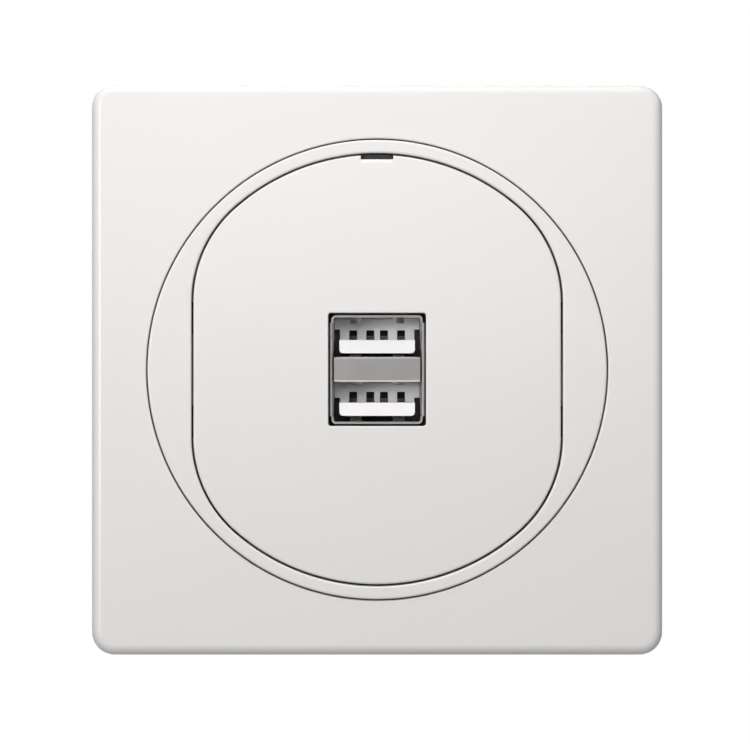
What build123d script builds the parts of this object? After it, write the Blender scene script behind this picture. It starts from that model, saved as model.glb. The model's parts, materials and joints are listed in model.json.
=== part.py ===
from build123d import *
import os
from math import atan2, cos, hypot, sin, sqrt

# Flush wall socket with two USB ports, in millimetres: +X to the right, +Z up, -Y towards the room.
# The wall surface is the plane y = 0. The origin lies in it, midway between the two wall screws.

# Square finishing plate with its round opening
plate_side = 82.0
plate_corner_r = 3.3
plate_edge_r = 1.3
plate_depth = 9.0
plate_face_t = 2.2
plate_wall_t = 1.8
opening_r = 33.15
opening_edge_r = 0.25
collar_t = 1.5
plate_rib_t = 1.2
plate_rib_depth = 2.2
plate_rib_offset = 12.0

# Round trim ring inside the plate
ring_gap = 0.22
ring_land = 1.86
ring_proud = 0.3
ring_face_t = 2.4
ring_wall_t = 1.2
ring_edge_r = 0.3

# Centre cover: a circle with straight sides, blended where they meet
cover_gap = 0.3
cover_flat = 4.43
cover_blend_r = 17.8
cover_proud = 0.1
cover_crown = 0.4
cover_face_t = 2.0
cover_wall_t = 1.2
cover_skirt_depth = 3.9
cover_edge_r = 0.3
window_side_gap = 0.45
window_end_gap = 0.3
window_corner_r = 0.4
window_edge_r = 0.15
window_collar_t = 1.0
window_collar_depth = 0.5
notch_w = 4.65
notch_depth = 0.65

# Flat push-fit blades that hold the plate, the ring and the cover
blade_t = 1.2
blade_w = 6.0
blade_tip = 0.4
push_clearance = 0.1
plate_blade_inset_x = 5.0
plate_blade_inset_z = 5.5
ring_blade_w = 4.6
ring_blade_inset = 1.16
ring_blade_z = 7.5
cover_blade_inset = 3.14
cover_blade_z = 9.0

# Pressed steel support frame
frame_reveal = 3.7
frame_corner_r = 4.0
frame_t = 1.2
frame_opening_gap = 0.4
wall_screw_spacing = 60.0
wall_slot_w = 4.2
wall_slot_length = 5.6
tab_height = 4.0
stiffener_length = 40.0
stiffener_height = 2.4
part_gap = 0.4

# Mechanism housing in two shells
flange_border = 1.8
flange_reach = 3.0
front_flange_t = 2.2
front_flange_corner_r = 6.0
body_cut = 10.0
body_wall = 1.6
rear_wall = 1.8
lip_depth = 1.6
lip_t = 0.75
lip_clearance = 0.1
turret_border = 3.4
turret_height = 3.0
turret_corner_r = 2.0
port_clearance = 0.25
boss_inset = 8.0
boss_r = 2.4
boss_split = 10.0
boss_gap = 0.2
vent_count = 5
vent_pitch = 4.4
vent_w = 1.4
vent_start = 11.0
vent_length = 12.0
pry_shelf_w = 6.0
pry_shelf_t = 1.8
pry_shelf_root = 2.0
pry_foot_inset = 3.0
pry_clearance = 0.12
pry_fin_recess = 1.0
label_w = 26.0
label_h = 12.0
label_z = 8.0
label_depth = 0.3
label_corner_r = 1.0

# Screws: those that close the housing, and those that hold it to the frame
shell_screw_r = 1.1
shell_screw_head_r = 2.0
shell_screw_head_h = 1.6
shell_screw_sink = 0.6
shell_screw_length = 12.0
frame_screw_inset = 5.5
frame_screw_r = 1.2
frame_screw_head_r = 2.6
frame_screw_head_h = 1.5
frame_screw_length = 5.0
screw_clearance = 0.15
thread_clearance = 0.05
recess_w = 0.7
recess_depth = 0.8
recess_reach = 0.62

# Stacked pair of USB-A receptacles
shell_w = 13.1
shell_h = 15.6
shell_t = 0.3
shell_corner_r = 0.65
shell_length = 13.4
shell_recess = 0.9
shell_leg_w = 2.0
leg_tail = 0.8
flare_out = 0.22
flare_depth = 0.9
flare_inset = 1.1
divider_h = 3.65
divider_recess = 0.15
divider_depth = 9.0
divider_bend_r = 0.35
spring_x = 3.1
spring_w = 1.7
spring_slot = 0.25
spring_length = 5.0
spring_start = 1.2
spring_drop = 0.8
spring_bend_share = 0.25
spring_tip_share = 0.6
divider_spring_rise = 0.42
tongue_w = 10.85
tongue_t = 1.9
tongue_recess = 0.9
tongue_length = 8.6
tongue_corner_r = 0.55
upper_tongue_lift = 0.52
lower_tongue_lift = 0.85
insulator_gap = 0.06
side_pocket_depth = 3.0
upper_shoulder = 1.62
lower_shoulder = 0.64
contact_offsets = (-3.5, -1.0, 1.0, 3.5)
contact_w = 0.95
contact_t = 0.25
contact_clearance = 0.1
contact_window_h = 1.5
contact_groove_depth = 0.35
contact_groove_inset = 0.5
contact_lift = 0.2
contact_rise = 0.5
contact_dip = 0.1
contact_bow_at = 2.6
contact_tip_at = 0.9
contact_tail = 1.0

# Boards
board_t = 1.6
board_edge_gap = 0.4
board_gap = 0.1
board_spacing = 18.2
board_tail_room = 2.2
board_low_margin = 1.3
board_high_margin = 0.5
parting_margin = 1.8
rail_w = 1.0
rail_h = 16.0
stop_w = 2.0
stop_h = 4.0
stop_z = 4.0

# Mains terminals: a contact bar, a cage that closes on the wire, and a captive screw
terminal_x = 6.8
wire_bore_r = 1.45
wire_boss_t = 1.0
wire_boss_depth = 4.0
wire_space = 3.0
bar_t = 1.0
bar_w = 4.4
bar_foot_length = 2.9
bar_foot_gap = 0.4
bar_riser_w = 2.4
bar_pin_w = 1.2
bar_pin_rise = 1.85
bar_seat_h = 1.5
cage_w = 6.4
cage_depth = 6.0
cage_wall = 1.0
cage_side = 0.8
cage_nut_t = 1.4
cage_below_bar = 1.2
cage_travel = 2.2
cage_rest_gap = 0.55
cage_rear_gap = 1.5
terminal_screw_r = 1.5
terminal_head_r = 1.9
terminal_head_h = 1.8
terminal_head_gap = 0.2
terminal_driver_r = 1.5
guide_t = 1.0
guide_clearance = 0.15

# Transformer on the power board
transformer_x = -1.6
transformer_z = 6.5
winding_r = 5.5
winding_length = 9.6
bobbin_core_r = 3.5
bobbin_flange_t = 1.0
bobbin_h = 13.0
bobbin_pin_pitch = 3.2
bobbin_pin_r = 0.35
core_window = 12.0
core_leg_t = 2.4
core_leg_r = 2.5
core_h = 5.0
core_joint = 0.1
core_fit = 0.1

# Smaller components: radius, or width, height and length, and where each stands
bulk_r = 3.9
bulk_length = 13.6
bulk_places = (5.2, -3.1)
output_r = 3.15
output_length = 7.0
output_margin = 2.65
output_places = (4.4, -4.4)
can_edge_r = 0.5
can_bead_at = 1.5
can_bead_w = 0.6
can_bead_depth = 0.25
can_lead_share = 0.4
choke_r = 3.9
choke_core_r = 2.2
choke_winding_inset = 0.5
choke_rim_t = 1.2
choke_length = 9.0
choke_z = -2.2
edge_margin = 1.5
fuse_box = (7.2, 7.0, 4.0)
fuse_z = 6.9
disc_r = 3.4
disc_t = 2.6
disc_edge_share = 0.35
disc_stand = 1.4
disc_place = (9.0, 5.2)
disc_lead_offset = 1.8
bridge_box = (6.0, 2.4, 3.8)
bridge_place = (-2.8, -4.4)
switch_box = (4.6, 1.5, 3.6)
switch_place = (3.0, -4.4)
charge_box = (5.0, 1.5, 4.0)
charge_place = (-13.6, 4.2)
rectifier_box = (6.6, 2.3, 5.4)
rectifier_place = (-12.8, -4.0)
package_bevel = 0.3
lead_r = 0.3
lead_gap = 0.1
lead_clearance = 0.08
lead_tail = 0.6

# Header that links the two boards
link_count = 5
link_pitch = 2.54
link_margin = 2.4
link_pin = 0.64
link_hole_r = 0.55
link_block_t = 2.5
link_block_h = 2.5

# How far a cut runs past a face, and how far the parts of one solid run into each other
overcut = 1.0
weld = 0.1

# Sizes across the wall that follow from those above
ring_r = opening_r - ring_gap
ring_open_r = ring_r - ring_land
cover_round_r = ring_open_r - cover_gap
cover_half_w = cover_round_r - cover_flat
ring_open_half_w = cover_half_w + cover_gap
ring_open_blend_r = cover_blend_r + cover_gap
window_w = shell_w + 2 * window_side_gap
window_h = shell_h + 2 * window_end_gap
frame_side = plate_side - 2 * (plate_wall_t + frame_reveal)
plate_blade_x = frame_side / 2 - plate_blade_inset_x
plate_blade_z = frame_side / 2 - plate_blade_inset_z
ring_blade_x = ring_open_half_w + ring_blade_inset
cover_blade_x = cover_half_w - cover_blade_inset
front_flange_half = cover_blade_x + flange_border
body_half = front_flange_half - flange_reach
inner_half = body_half - body_wall
lip_half = inner_half + lip_t
frame_screw_offset = front_flange_half - frame_screw_inset
boss_offset = body_half - boss_inset
board_half = inner_half - board_edge_gap
port_top = shell_h / 2 - shell_t
insulator_half_w = shell_w / 2 - shell_t - insulator_gap
upper_tongue_low = divider_h / 2 + upper_tongue_lift
lower_tongue_low = -port_top + lower_tongue_lift
link_z = board_half - link_margin
bulk_x = -(board_half - bulk_r - edge_margin)
choke_x = board_half - choke_r - edge_margin
output_x = board_half - output_r - output_margin

# Heights of a terminal, from the floor of the housing up
head_low = -inner_half + terminal_head_gap
head_top = head_low + terminal_head_h
cage_low = head_top + cage_rest_gap + cage_travel
bar_low = cage_low + cage_nut_t + cage_below_bar
bar_top = bar_low + bar_t
wire_z = bar_top + wire_space / 2
cage_top = bar_top + wire_space + cage_wall
bar_pin_z = cage_top + bar_pin_rise
power_board_low = bar_pin_z - board_low_margin
power_board_high = board_half - board_high_margin

# Stations along Y
plate_front = -plate_depth
ring_front = plate_front - ring_proud
cover_front = ring_front - cover_proud
cover_peak = cover_front - cover_crown
plate_under = plate_front + plate_face_t
ring_under = ring_front + ring_face_t
cover_under = cover_front + cover_face_t
frame_front = -frame_t
flange_front = frame_front - front_flange_t
front_inside = flange_front + body_wall
turret_front = flange_front - turret_height
tab_front = frame_front - tab_height
stiffener_front = frame_front - stiffener_height
collar_back = stiffener_front - part_gap
ring_back = flange_front - part_gap / 2
blade_end = frame_front - push_clearance
mouth = cover_peak + shell_recess
shell_back = mouth + shell_length
usb_board_front = shell_back + board_gap
usb_board_back = usb_board_front + board_t
parting_depth = usb_board_back + parting_margin
power_board_front = usb_board_back + board_spacing
power_board_back = power_board_front + board_t
rear_inside = power_board_back + board_tail_room
body_depth = rear_inside + rear_wall
boss_depth = body_depth - boss_split
wire_boss_front = body_depth - wire_boss_depth
terminal_y = wire_boss_front - cage_rear_gap - cage_depth / 2
bar_front = terminal_y - cage_depth / 2 - bar_foot_gap - bar_foot_length
tongue_front = mouth + tongue_recess
tongue_root = tongue_front + tongue_length
shell_screw_seat = body_depth - shell_screw_head_h - shell_screw_sink


def slab(profile, back, front):
    """Solid from the plane y = back to the plane y = front, with its profile drawn in x and z."""
    plane = Plane(origin=(0, back, 0), x_dir=(1, 0, 0), z_dir=(0, -1, 0))
    return extrude(plane * profile, amount=back - front, dir=(0, -1, 0))


def plank(profile, left, right):
    """Solid from the plane x = left to the plane x = right, with its profile drawn in y and z."""
    plane = Plane(origin=(left, 0, 0), x_dir=(0, 1, 0), z_dir=(1, 0, 0))
    return extrude(plane * profile, amount=right - left, dir=(1, 0, 0))


def column(profile, low, high):
    """Solid from the plane z = low to the plane z = high, with its profile drawn in x and y."""
    return Pos(0, 0, low) * extrude(profile, amount=high - low, dir=(0, 0, 1))


def block(x, y, z):
    """Box between a pair of limits on each axis."""
    size = [abs(high - low) for low, high in (x, y, z)]
    centre = [(low + high) / 2 for low, high in (x, y, z)]
    return Pos(*centre) * Box(*size)


def round_bar(radius, x, z, back, front):
    """Cylinder along Y."""
    return slab(Pos(x, z) * Circle(radius), back, front)


def round_post(radius, x, y, low, high):
    """Cylinder along Z."""
    return Pos(x, y, (low + high) / 2) * Cylinder(radius, high - low)


def corners(offset_x, offset_z):
    """The four places at plus and minus these offsets."""
    return [(sx * offset_x, sz * offset_z) for sx in (-1, 1) for sz in (-1, 1)]


def cut_square(half, cut):
    """Square with its corners cut off at 45 degrees."""
    near = half - cut
    ring = [(half, near), (near, half), (-near, half), (-half, near)]
    return Polygon(*ring, *[(-x, -z) for x, z in ring])


def clipped_circle(round_r, half_w, blend_r):
    """Circle cut off by two upright lines, with a blend where each line meets the circle."""
    centre_x = half_w - blend_r
    centre_z = sqrt((round_r - blend_r) ** 2 - centre_x**2)
    turn = atan2(centre_z, centre_x)
    meet = (round_r * cos(turn), round_r * sin(turn))
    middle = (centre_x + blend_r * cos(turn / 2), centre_z + blend_r * sin(turn / 2))
    outline = Curve()
    for side in (-1, 1):
        outline += Line((side * half_w, -centre_z), (side * half_w, centre_z))
        outline += ThreePointArc((-meet[0], side * meet[1]), (0, side * round_r), (meet[0], side * meet[1]))
    for sx, sz in corners(1, 1):
        bend = [(sx * x, sz * z) for x, z in ((half_w, centre_z), middle, meet)]
        outline += ThreePointArc(*bend)
    return make_face(outline)


def domed_disc(radius, edge, crown, back):
    """Disc about the Y axis whose front is part of a sphere: at y = edge on its rim, crown further out at the centre."""
    sphere_r = (radius**2 + crown**2) / (2 * crown)
    middle_y = edge - crown + sphere_r - sqrt(sphere_r**2 - radius**2 / 4)
    front = ThreePointArc((0, edge - crown), (radius / 2, middle_y), (radius, edge))
    sides = Polyline((radius, edge), (radius, back), (0, back), (0, edge - crown))
    return revolve(make_face(front + sides), axis=Axis.Y)


def bent_strip(points, thickness):
    """Outline of a sheet of even thickness that follows these points with mitred bends."""
    left, right = [], []
    for i, (u, v) in enumerate(points):
        before = points[max(i - 1, 0)]
        after = points[min(i + 1, len(points) - 1)]
        first = (u - before[0], v - before[1]) if i else (after[0] - u, after[1] - v)
        last = (after[0] - u, after[1] - v) if i < len(points) - 1 else first
        a, b = [(du / hypot(du, dv), dv / hypot(du, dv)) for du, dv in (first, last)]
        across = (-(a[1] + b[1]), a[0] + b[0])
        scale = thickness / (across[0] ** 2 + across[1] ** 2) ** 0.5
        scale /= hypot(a[0] + b[0], a[1] + b[1]) / 2
        left.append((u + across[0] * scale / 2, v + across[1] * scale / 2))
        right.append((u - across[0] * scale / 2, v - across[1] * scale / 2))
    return Polygon(*left, *reversed(right), align=None)


def edges_at(solid, station, radius=None):
    """Edges that lie in the plane y = station, or only those that are circles of this radius."""
    flat = [e for e in solid.edges() if abs(e.bounding_box().min.Y - station) < 1e-4]
    flat = [e for e in flat if abs(e.bounding_box().max.Y - station) < 1e-4]
    if radius is None:
        return flat
    return [e for e in flat if e.geom_type == GeomType.CIRCLE and abs(e.radius - radius) < 1e-4]


def blade(x, z, width, back, tip):
    """Flat push-fit blade, thin in X, with a bevelled tip."""
    half = blade_t / 2
    bevel = min(blade_tip, half)
    section = [(x - half, back), (x - half, tip - bevel), (x - half + bevel, tip)]
    section += [(x + half - bevel, tip), (x + half, tip - bevel), (x + half, back)]
    return column(Polygon(*section, align=None), z - width / 2, z + width / 2)


def crosshead(head_r, x, z, station, inward):
    """Cross recess to cut in a screw head that lies across Y, from its face at y = station."""
    depth = station + inward * recess_depth
    reach = head_r * recess_reach
    arms = Rectangle(2 * reach, recess_w) + Rectangle(recess_w, 2 * reach)
    return slab(Pos(x, z) * arms, max(station, depth), min(station, depth))


def finishing_plate():
    outer = slab(RectangleRounded(plate_side, plate_side, plate_corner_r), 0, plate_front)
    outer = fillet(edges_at(outer, plate_front), plate_edge_r)
    inside = plate_side - 2 * plate_wall_t
    inside_r = plate_corner_r - plate_wall_t
    plate = outer - slab(RectangleRounded(inside, inside, inside_r), 0, plate_under)
    plate += slab(Circle(opening_r + collar_t), collar_back, plate_under - weld)
    plate -= slab(Circle(opening_r), 0, plate_front)
    plate = fillet(edges_at(plate, plate_front, opening_r), opening_edge_r)
    rib_start = sqrt((opening_r + collar_t / 2) ** 2 - plate_rib_offset**2)
    rib_profile = Pos((rib_start + inside / 2) / 2, 0) * Rectangle(inside / 2 - rib_start + 2 * weld, plate_rib_t)
    rib = slab(rib_profile, plate_under + plate_rib_depth, plate_under - weld)
    for quarter in range(4):
        for side in (-1, 1):
            plate += Rot(0, 90 * quarter, 0) * Pos(0, 0, side * plate_rib_offset) * rib
    for x, z in corners(plate_blade_x, plate_blade_z):
        plate += blade(x, z, blade_w, plate_under - weld, blade_end)
    return plate


def trim_ring():
    opening = clipped_circle(ring_open_r, ring_open_half_w, ring_open_blend_r)
    ring = slab(Circle(ring_r), ring_under, ring_front)
    ring += slab(Circle(ring_r), ring_back, ring_under - weld)
    ring -= slab(Circle(ring_r - ring_wall_t), ring_back, ring_under)
    ring -= slab(opening, 0, ring_front)
    ring = fillet(edges_at(ring, ring_front), ring_edge_r)
    for x, z in corners(ring_blade_x, ring_blade_z):
        ring += blade(x, z, ring_blade_w, ring_under - weld, blade_end)
    return ring


def front_edges(cover):
    """Edges on the domed front of the cover."""
    return [e for e in cover.edges() if e.bounding_box().max.Y < cover_front + cover_edge_r / 4]


def centre_cover():
    outline = clipped_circle(cover_round_r, cover_half_w, cover_blend_r)
    inner = clipped_circle(cover_round_r - cover_wall_t, cover_half_w - cover_wall_t, cover_blend_r - cover_wall_t)
    skirt_back = cover_front + cover_skirt_depth
    cover = slab(outline, skirt_back, cover_peak - overcut)
    cover -= slab(inner, skirt_back, cover_under)
    cover &= domed_disc(cover_round_r + overcut, cover_front, cover_crown, skirt_back + overcut)
    cover = fillet(front_edges(cover), cover_edge_r)
    collar = RectangleRounded(window_w + 2 * window_collar_t, window_h + 2 * window_collar_t, window_collar_t)
    cover += slab(collar, cover_under + window_collar_depth, cover_under - weld)
    cover -= slab(RectangleRounded(window_w, window_h, window_corner_r), 0, cover_peak - overcut)
    lip = [e for e in front_edges(cover) if hypot(e.center().X, e.center().Z) < hypot(window_w, window_h) / 2]
    cover = fillet(lip, window_edge_r)
    notch_low = cover_round_r - notch_depth
    notch_top = cover_round_r + overcut
    cover -= block((-notch_w / 2, notch_w / 2), (cover_peak - overcut, 0), (notch_low, notch_top))
    for x, z in corners(cover_blade_x, cover_blade_z):
        cover += blade(x, z, blade_w, cover_under - weld, blade_end)
    return cover


def frame_tab(x, z, width):
    """Tab folded forward out of the frame beside a blade, and the window that the folding leaves."""
    near = abs(x) + blade_t / 2 + push_clearance
    side = 1 if x > 0 else -1
    z_limits = (z - width / 2, z + width / 2)
    tab = block((side * near, side * (near + frame_t)), (tab_front, frame_front / 2), z_limits)
    window = block((side * (near - tab_height), side * near), (frame_front - overcut, overcut), z_limits)
    return tab, window


def support_frame():
    frame = slab(RectangleRounded(frame_side, frame_side, frame_corner_r), 0, frame_front)
    opening = cut_square(body_half + frame_opening_gap, body_cut)
    frame -= slab(opening, overcut, frame_front - overcut)
    slot = SlotOverall(wall_slot_length, wall_slot_w)
    for side in (-1, 1):
        frame -= slab(Pos(side * wall_screw_spacing / 2, 0) * slot, overcut, frame_front - overcut)
    places = [(x, z, blade_w) for x, z in corners(plate_blade_x, plate_blade_z)]
    places += [(x, z, ring_blade_w) for x, z in corners(ring_blade_x, ring_blade_z)]
    for x, z, width in places:
        tab, window = frame_tab(x, z, width)
        frame = frame - window + tab
    edge = frame_side / 2
    reach = stiffener_length / 2
    for side in (-1, 1):
        z_limits = (side * edge, side * (edge - frame_t))
        frame += block((-reach, reach), (stiffener_front, frame_front / 2), z_limits)
    for x, z in corners(frame_screw_offset, frame_screw_offset):
        frame -= round_bar(frame_screw_r + thread_clearance, x, z, overcut, frame_front - overcut)
    return frame


def cut_inside(half):
    """Corner cut that keeps an inner square's wall as thick at its corners as along its sides."""
    return body_cut - (body_half - half) * (2 - sqrt(2))


def housing_front():
    flange = RectangleRounded(2 * front_flange_half, 2 * front_flange_half, front_flange_corner_r)
    shell = slab(flange, frame_front, flange_front)
    shell += slab(cut_square(body_half, body_cut), parting_depth, frame_front)
    turret = RectangleRounded(window_w + 2 * turret_border, window_h + 2 * turret_border, turret_corner_r)
    shell += slab(turret, flange_front, turret_front)
    shell -= slab(cut_square(inner_half, cut_inside(inner_half)), parting_depth, front_inside)
    wide = lip_half + lip_clearance
    shell -= slab(cut_square(wide, cut_inside(wide)), parting_depth, parting_depth - lip_depth - lip_clearance)
    for x, z in corners(boss_offset, boss_offset):
        shell += round_bar(boss_r, x, z, boss_depth, front_inside - weld)
        shell -= round_bar(shell_screw_r - thread_clearance, x, z, boss_depth, boss_depth - shell_screw_length)
    port = RectangleRounded(shell_w + 2 * port_clearance, shell_h + 2 * port_clearance, shell_corner_r)
    shell -= slab(port, parting_depth, turret_front)
    for x, z in corners(frame_screw_offset, frame_screw_offset):
        shell -= round_bar(frame_screw_r + screw_clearance, x, z, frame_front, flange_front)
    pocket = Rectangle(blade_t + 2 * push_clearance, blade_w + 2 * push_clearance)
    for x, z in corners(cover_blade_x, cover_blade_z):
        shell -= slab(Pos(x, z) * pocket, frame_front, flange_front)
    lug_end = ring_blade_x - blade_t / 2 - push_clearance
    rail_y = (front_inside - weld, usb_board_front - board_gap)
    for side in (-1, 1):
        for z in (-ring_blade_z, ring_blade_z):
            lug_x = (side * (front_flange_half - weld), side * lug_end)
            shell += block(lug_x, (flange_front, frame_front), (z - ring_blade_w / 2, z + ring_blade_w / 2))
        rail_x = (side * (inner_half + weld), side * (inner_half - rail_w))
        shell += block(rail_x, rail_y, (-rail_h / 2, rail_h / 2))
    return shell + pry_rest()


def pry_rest():
    """Shelf above the flange whose fin fills the cover's notch, for the blade that lifts the cover off."""
    shelf_front = flange_front - pry_shelf_t
    root = front_flange_half - pry_shelf_root
    fin_top = sqrt(ring_open_r**2 - notch_w**2 / 4) - pry_clearance
    fin_low = cover_round_r - notch_depth + pry_clearance
    half = pry_shelf_w / 2
    shelf = block((-half, half), (shelf_front, flange_front), (root, fin_top))
    shelf += block((-half, half), (flange_front, frame_front), (root, fin_top - pry_foot_inset))
    fin_half = notch_w / 2 - pry_clearance
    return shelf + block((-fin_half, fin_half), (cover_front + pry_fin_recess, flange_front), (fin_low, fin_top))


def housing_rear():
    shell = slab(cut_square(body_half, body_cut), body_depth, parting_depth)
    lip = cut_square(lip_half, cut_inside(lip_half))
    shell += slab(lip, parting_depth + lip_depth, parting_depth - lip_depth)
    inside = cut_square(inner_half, cut_inside(inner_half))
    shell -= slab(inside, rear_inside, parting_depth - lip_depth)
    for x, z in corners(boss_offset, boss_offset):
        shell += round_bar(boss_r, x, z, rear_inside + weld, boss_depth + boss_gap)
        shell -= round_bar(shell_screw_r + screw_clearance, x, z, body_depth, boss_depth)
        shell -= round_bar(shell_screw_head_r + screw_clearance, x, z, body_depth, shell_screw_seat)
    for i in range(vent_count):
        x = (i - (vent_count - 1) / 2) * vent_pitch
        slot = Pos(x, vent_start + vent_length / 2) * SlotOverall(vent_length, vent_w, rotation=90)
        shell -= column(slot, inner_half - weld, body_half + weld)
    for side in (-1, 1):
        wall_x = side * (inner_half + weld)
        rail_y = (usb_board_back + board_gap, power_board_front - board_gap)
        shell += block((wall_x, side * (inner_half - rail_w)), rail_y, (-rail_h / 2, rail_h / 2))
        stop_y = (power_board_back + board_gap, rear_inside + weld)
        shell += block((wall_x, side * (inner_half - stop_w)), stop_y, (stop_z - stop_h / 2, stop_z + stop_h / 2))
        shell = shell + terminal_guides(side * terminal_x) - terminal_openings(side * terminal_x)
    label = Pos(0, label_z) * RectangleRounded(label_w, label_h, label_corner_r)
    return shell - slab(label, body_depth, body_depth - label_depth)


def terminal_guides(x):
    """Walls that keep a cage from turning, the seat of its contact bar, and the tube round the screw head."""
    floor = -inner_half - weld
    near = cage_w / 2 + guide_clearance
    walls_y = (bar_front - 2 * guide_clearance, rear_inside + weld)
    tube_r = terminal_head_r + terminal_head_gap + guide_t
    guides = round_post(tube_r, x, terminal_y, floor, head_top + terminal_head_gap)
    for side in (-1, 1):
        wall_x = (x + side * near, x + side * (near + guide_t))
        guides += block(wall_x, walls_y, (floor, cage_top - 2 * guide_clearance))
    seat_y = (walls_y[0], bar_front + bar_foot_length - bar_foot_gap)
    seat_z = (bar_low - bar_seat_h, bar_low - thread_clearance)
    guides += block((x - near, x + near), seat_y, seat_z)
    return guides + round_bar(wire_bore_r + wire_boss_t, x, wire_z, rear_inside + weld, wire_boss_front)


def terminal_openings(x):
    """Wire entry from the rear, room for the screw head, and the hole below it for a screwdriver."""
    entry = round_bar(wire_bore_r, x, wire_z, body_depth, wire_boss_front)
    head_r = terminal_head_r + terminal_head_gap
    head = round_post(head_r, x, terminal_y, head_low - terminal_head_gap, head_top + 2 * terminal_head_gap)
    driver = round_post(terminal_driver_r, x, terminal_y, -body_half - overcut, head_low)
    return entry + head + driver


def housing_screw(x, z):
    """Self-tapping screw that holds the two housing shells together, put in from the rear."""
    screw = round_bar(shell_screw_head_r, x, z, shell_screw_seat + shell_screw_head_h, shell_screw_seat)
    shank_r = shell_screw_r - 2 * thread_clearance
    screw += round_bar(shank_r, x, z, shell_screw_seat + weld, shell_screw_seat - shell_screw_length)
    return screw - crosshead(shell_screw_head_r, x, z, shell_screw_seat + shell_screw_head_h, -1)


def frame_screw(x, z):
    """Screw that holds the housing's flange to the frame, put in from the front."""
    screw = round_bar(frame_screw_head_r, x, z, flange_front, flange_front - frame_screw_head_h)
    screw += round_bar(frame_screw_r, x, z, flange_front + frame_screw_length, flange_front - weld)
    return screw - crosshead(frame_screw_head_r, x, z, flange_front - frame_screw_head_h, 1)


def retention_spring(x, wall_z, inward, reach):
    """Leaf cut from a shell wall at height wall_z and bent towards the plug, and the slot round it."""
    root = mouth + spring_start
    tip = root + spring_length
    bend = tip - spring_length * spring_bend_share
    lift = reach * spring_tip_share
    points = [(root, wall_z), (bend, wall_z + inward * reach), (tip, wall_z + inward * lift)]
    leaf = plank(bent_strip(points, shell_t), x - spring_w / 2, x + spring_w / 2)
    wide = spring_w / 2 + spring_slot
    slot_y = (root + shell_t, tip + spring_slot)
    slot = block((x - wide, x + wide), slot_y, (wall_z - shell_t, wall_z + shell_t))
    return leaf, slot


def usb_shell():
    outer = RectangleRounded(shell_w, shell_h, shell_corner_r)
    inner = RectangleRounded(shell_w - 2 * shell_t, shell_h - 2 * shell_t, shell_corner_r - shell_t)
    shell = slab(outer, shell_back, mouth) - slab(inner, shell_back, mouth)
    wall_z = shell_h / 2 - shell_t / 2
    for side in (-1, 1):
        for x in (-spring_x, spring_x):
            leaf, slot = retention_spring(x, side * wall_z, -side, spring_drop)
            shell = shell - slot + leaf
        wall_x = side * shell_w / 2
        inner_x = wall_x - side * shell_t
        flare = Polygon(
            (inner_x, mouth + flare_depth),
            (wall_x, mouth + flare_depth),
            (wall_x + side * flare_out, mouth),
            (inner_x + side * flare_out, mouth),
            align=None,
        )
        flare_z = shell_h / 2 - flare_inset
        shell -= block((inner_x, wall_x), (mouth, mouth + flare_depth), (-flare_z, flare_z))
        shell += column(flare, -flare_z, flare_z)
        for z in (-shell_h / 4, shell_h / 4):
            leg_y = (shell_back - weld, usb_board_back + leg_tail)
            shell += block((inner_x, wall_x), leg_y, (z - shell_leg_w / 2, z + shell_leg_w / 2))
    return shell


def usb_divider():
    half_w = insulator_half_w
    front = mouth + divider_recess
    back = mouth + divider_depth
    section = Rectangle(back - front, divider_h)
    section = Pos((front + back) / 2, 0) * section
    outer = plank(section, -half_w, half_w)
    bends = [e for e in edges_at(outer, front) if abs(e.center().Z) > divider_h / 4]
    outer = fillet(bends, divider_bend_r)
    hollow = block((-half_w, half_w), (front + shell_t, back), (-divider_h / 2 + shell_t, divider_h / 2 - shell_t))
    divider = outer - hollow
    for side in (-1, 1):
        for x in (-spring_x, spring_x):
            wall_z = side * (divider_h - shell_t) / 2
            leaf, slot = retention_spring(x, wall_z, side, divider_spring_rise)
            divider = divider - slot + leaf
    return divider


def insulator(low, high, tongue_low, shoulder):
    """White body that closes the rear of one port, with the tongue that carries its four contacts."""
    half_w = insulator_half_w
    back = usb_board_front - board_gap
    tongue_top = tongue_low + tongue_t
    body = block((-half_w, half_w), (tongue_root, back), (low + insulator_gap, high - insulator_gap))
    inner_h = 2 * (port_top - insulator_gap)
    body &= slab(RectangleRounded(2 * half_w, inner_h, shell_corner_r - shell_t), back, tongue_root)
    pocket_y = (tongue_root - overcut, tongue_root + side_pocket_depth)
    body -= block((-half_w, half_w), pocket_y, (low - overcut, tongue_low))
    for side in (-1, 1):
        pocket_x = (side * tongue_w / 2, side * (half_w + overcut))
        body -= block(pocket_x, pocket_y, (low - overcut, tongue_top + shoulder))
    tongue = block((-tongue_w / 2, tongue_w / 2), (tongue_front, back - weld), (tongue_low, tongue_top))
    sides = [e for e in tongue.edges().filter_by(Axis.Y) if e.center().Z < tongue_low + tongue_t / 2]
    body += fillet(sides, tongue_corner_r)
    wide = contact_w / 2 + contact_clearance
    for x in contact_offsets:
        slot_x = (x - wide, x + wide)
        groove_y = (tongue_front + contact_groove_inset, back + overcut)
        body -= block(slot_x, groove_y, (tongue_top - contact_groove_depth, tongue_top + weld))
        body -= block(slot_x, (tongue_root - overcut, back + overcut), (tongue_top, tongue_top + contact_window_h))
    return body


def usb_contact(x, tongue_low):
    """Spring contact: tail through the board, root in the insulator, bowed arm along the tongue."""
    top = tongue_low + tongue_t
    points = [
        (usb_board_back + contact_tail, top + contact_lift),
        (tongue_root, top + contact_lift),
        (tongue_front + contact_bow_at, top + contact_rise),
        (tongue_front + contact_tip_at, top - contact_dip),
    ]
    return plank(bent_strip(points, contact_t), x - contact_w / 2, x + contact_w / 2)


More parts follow.
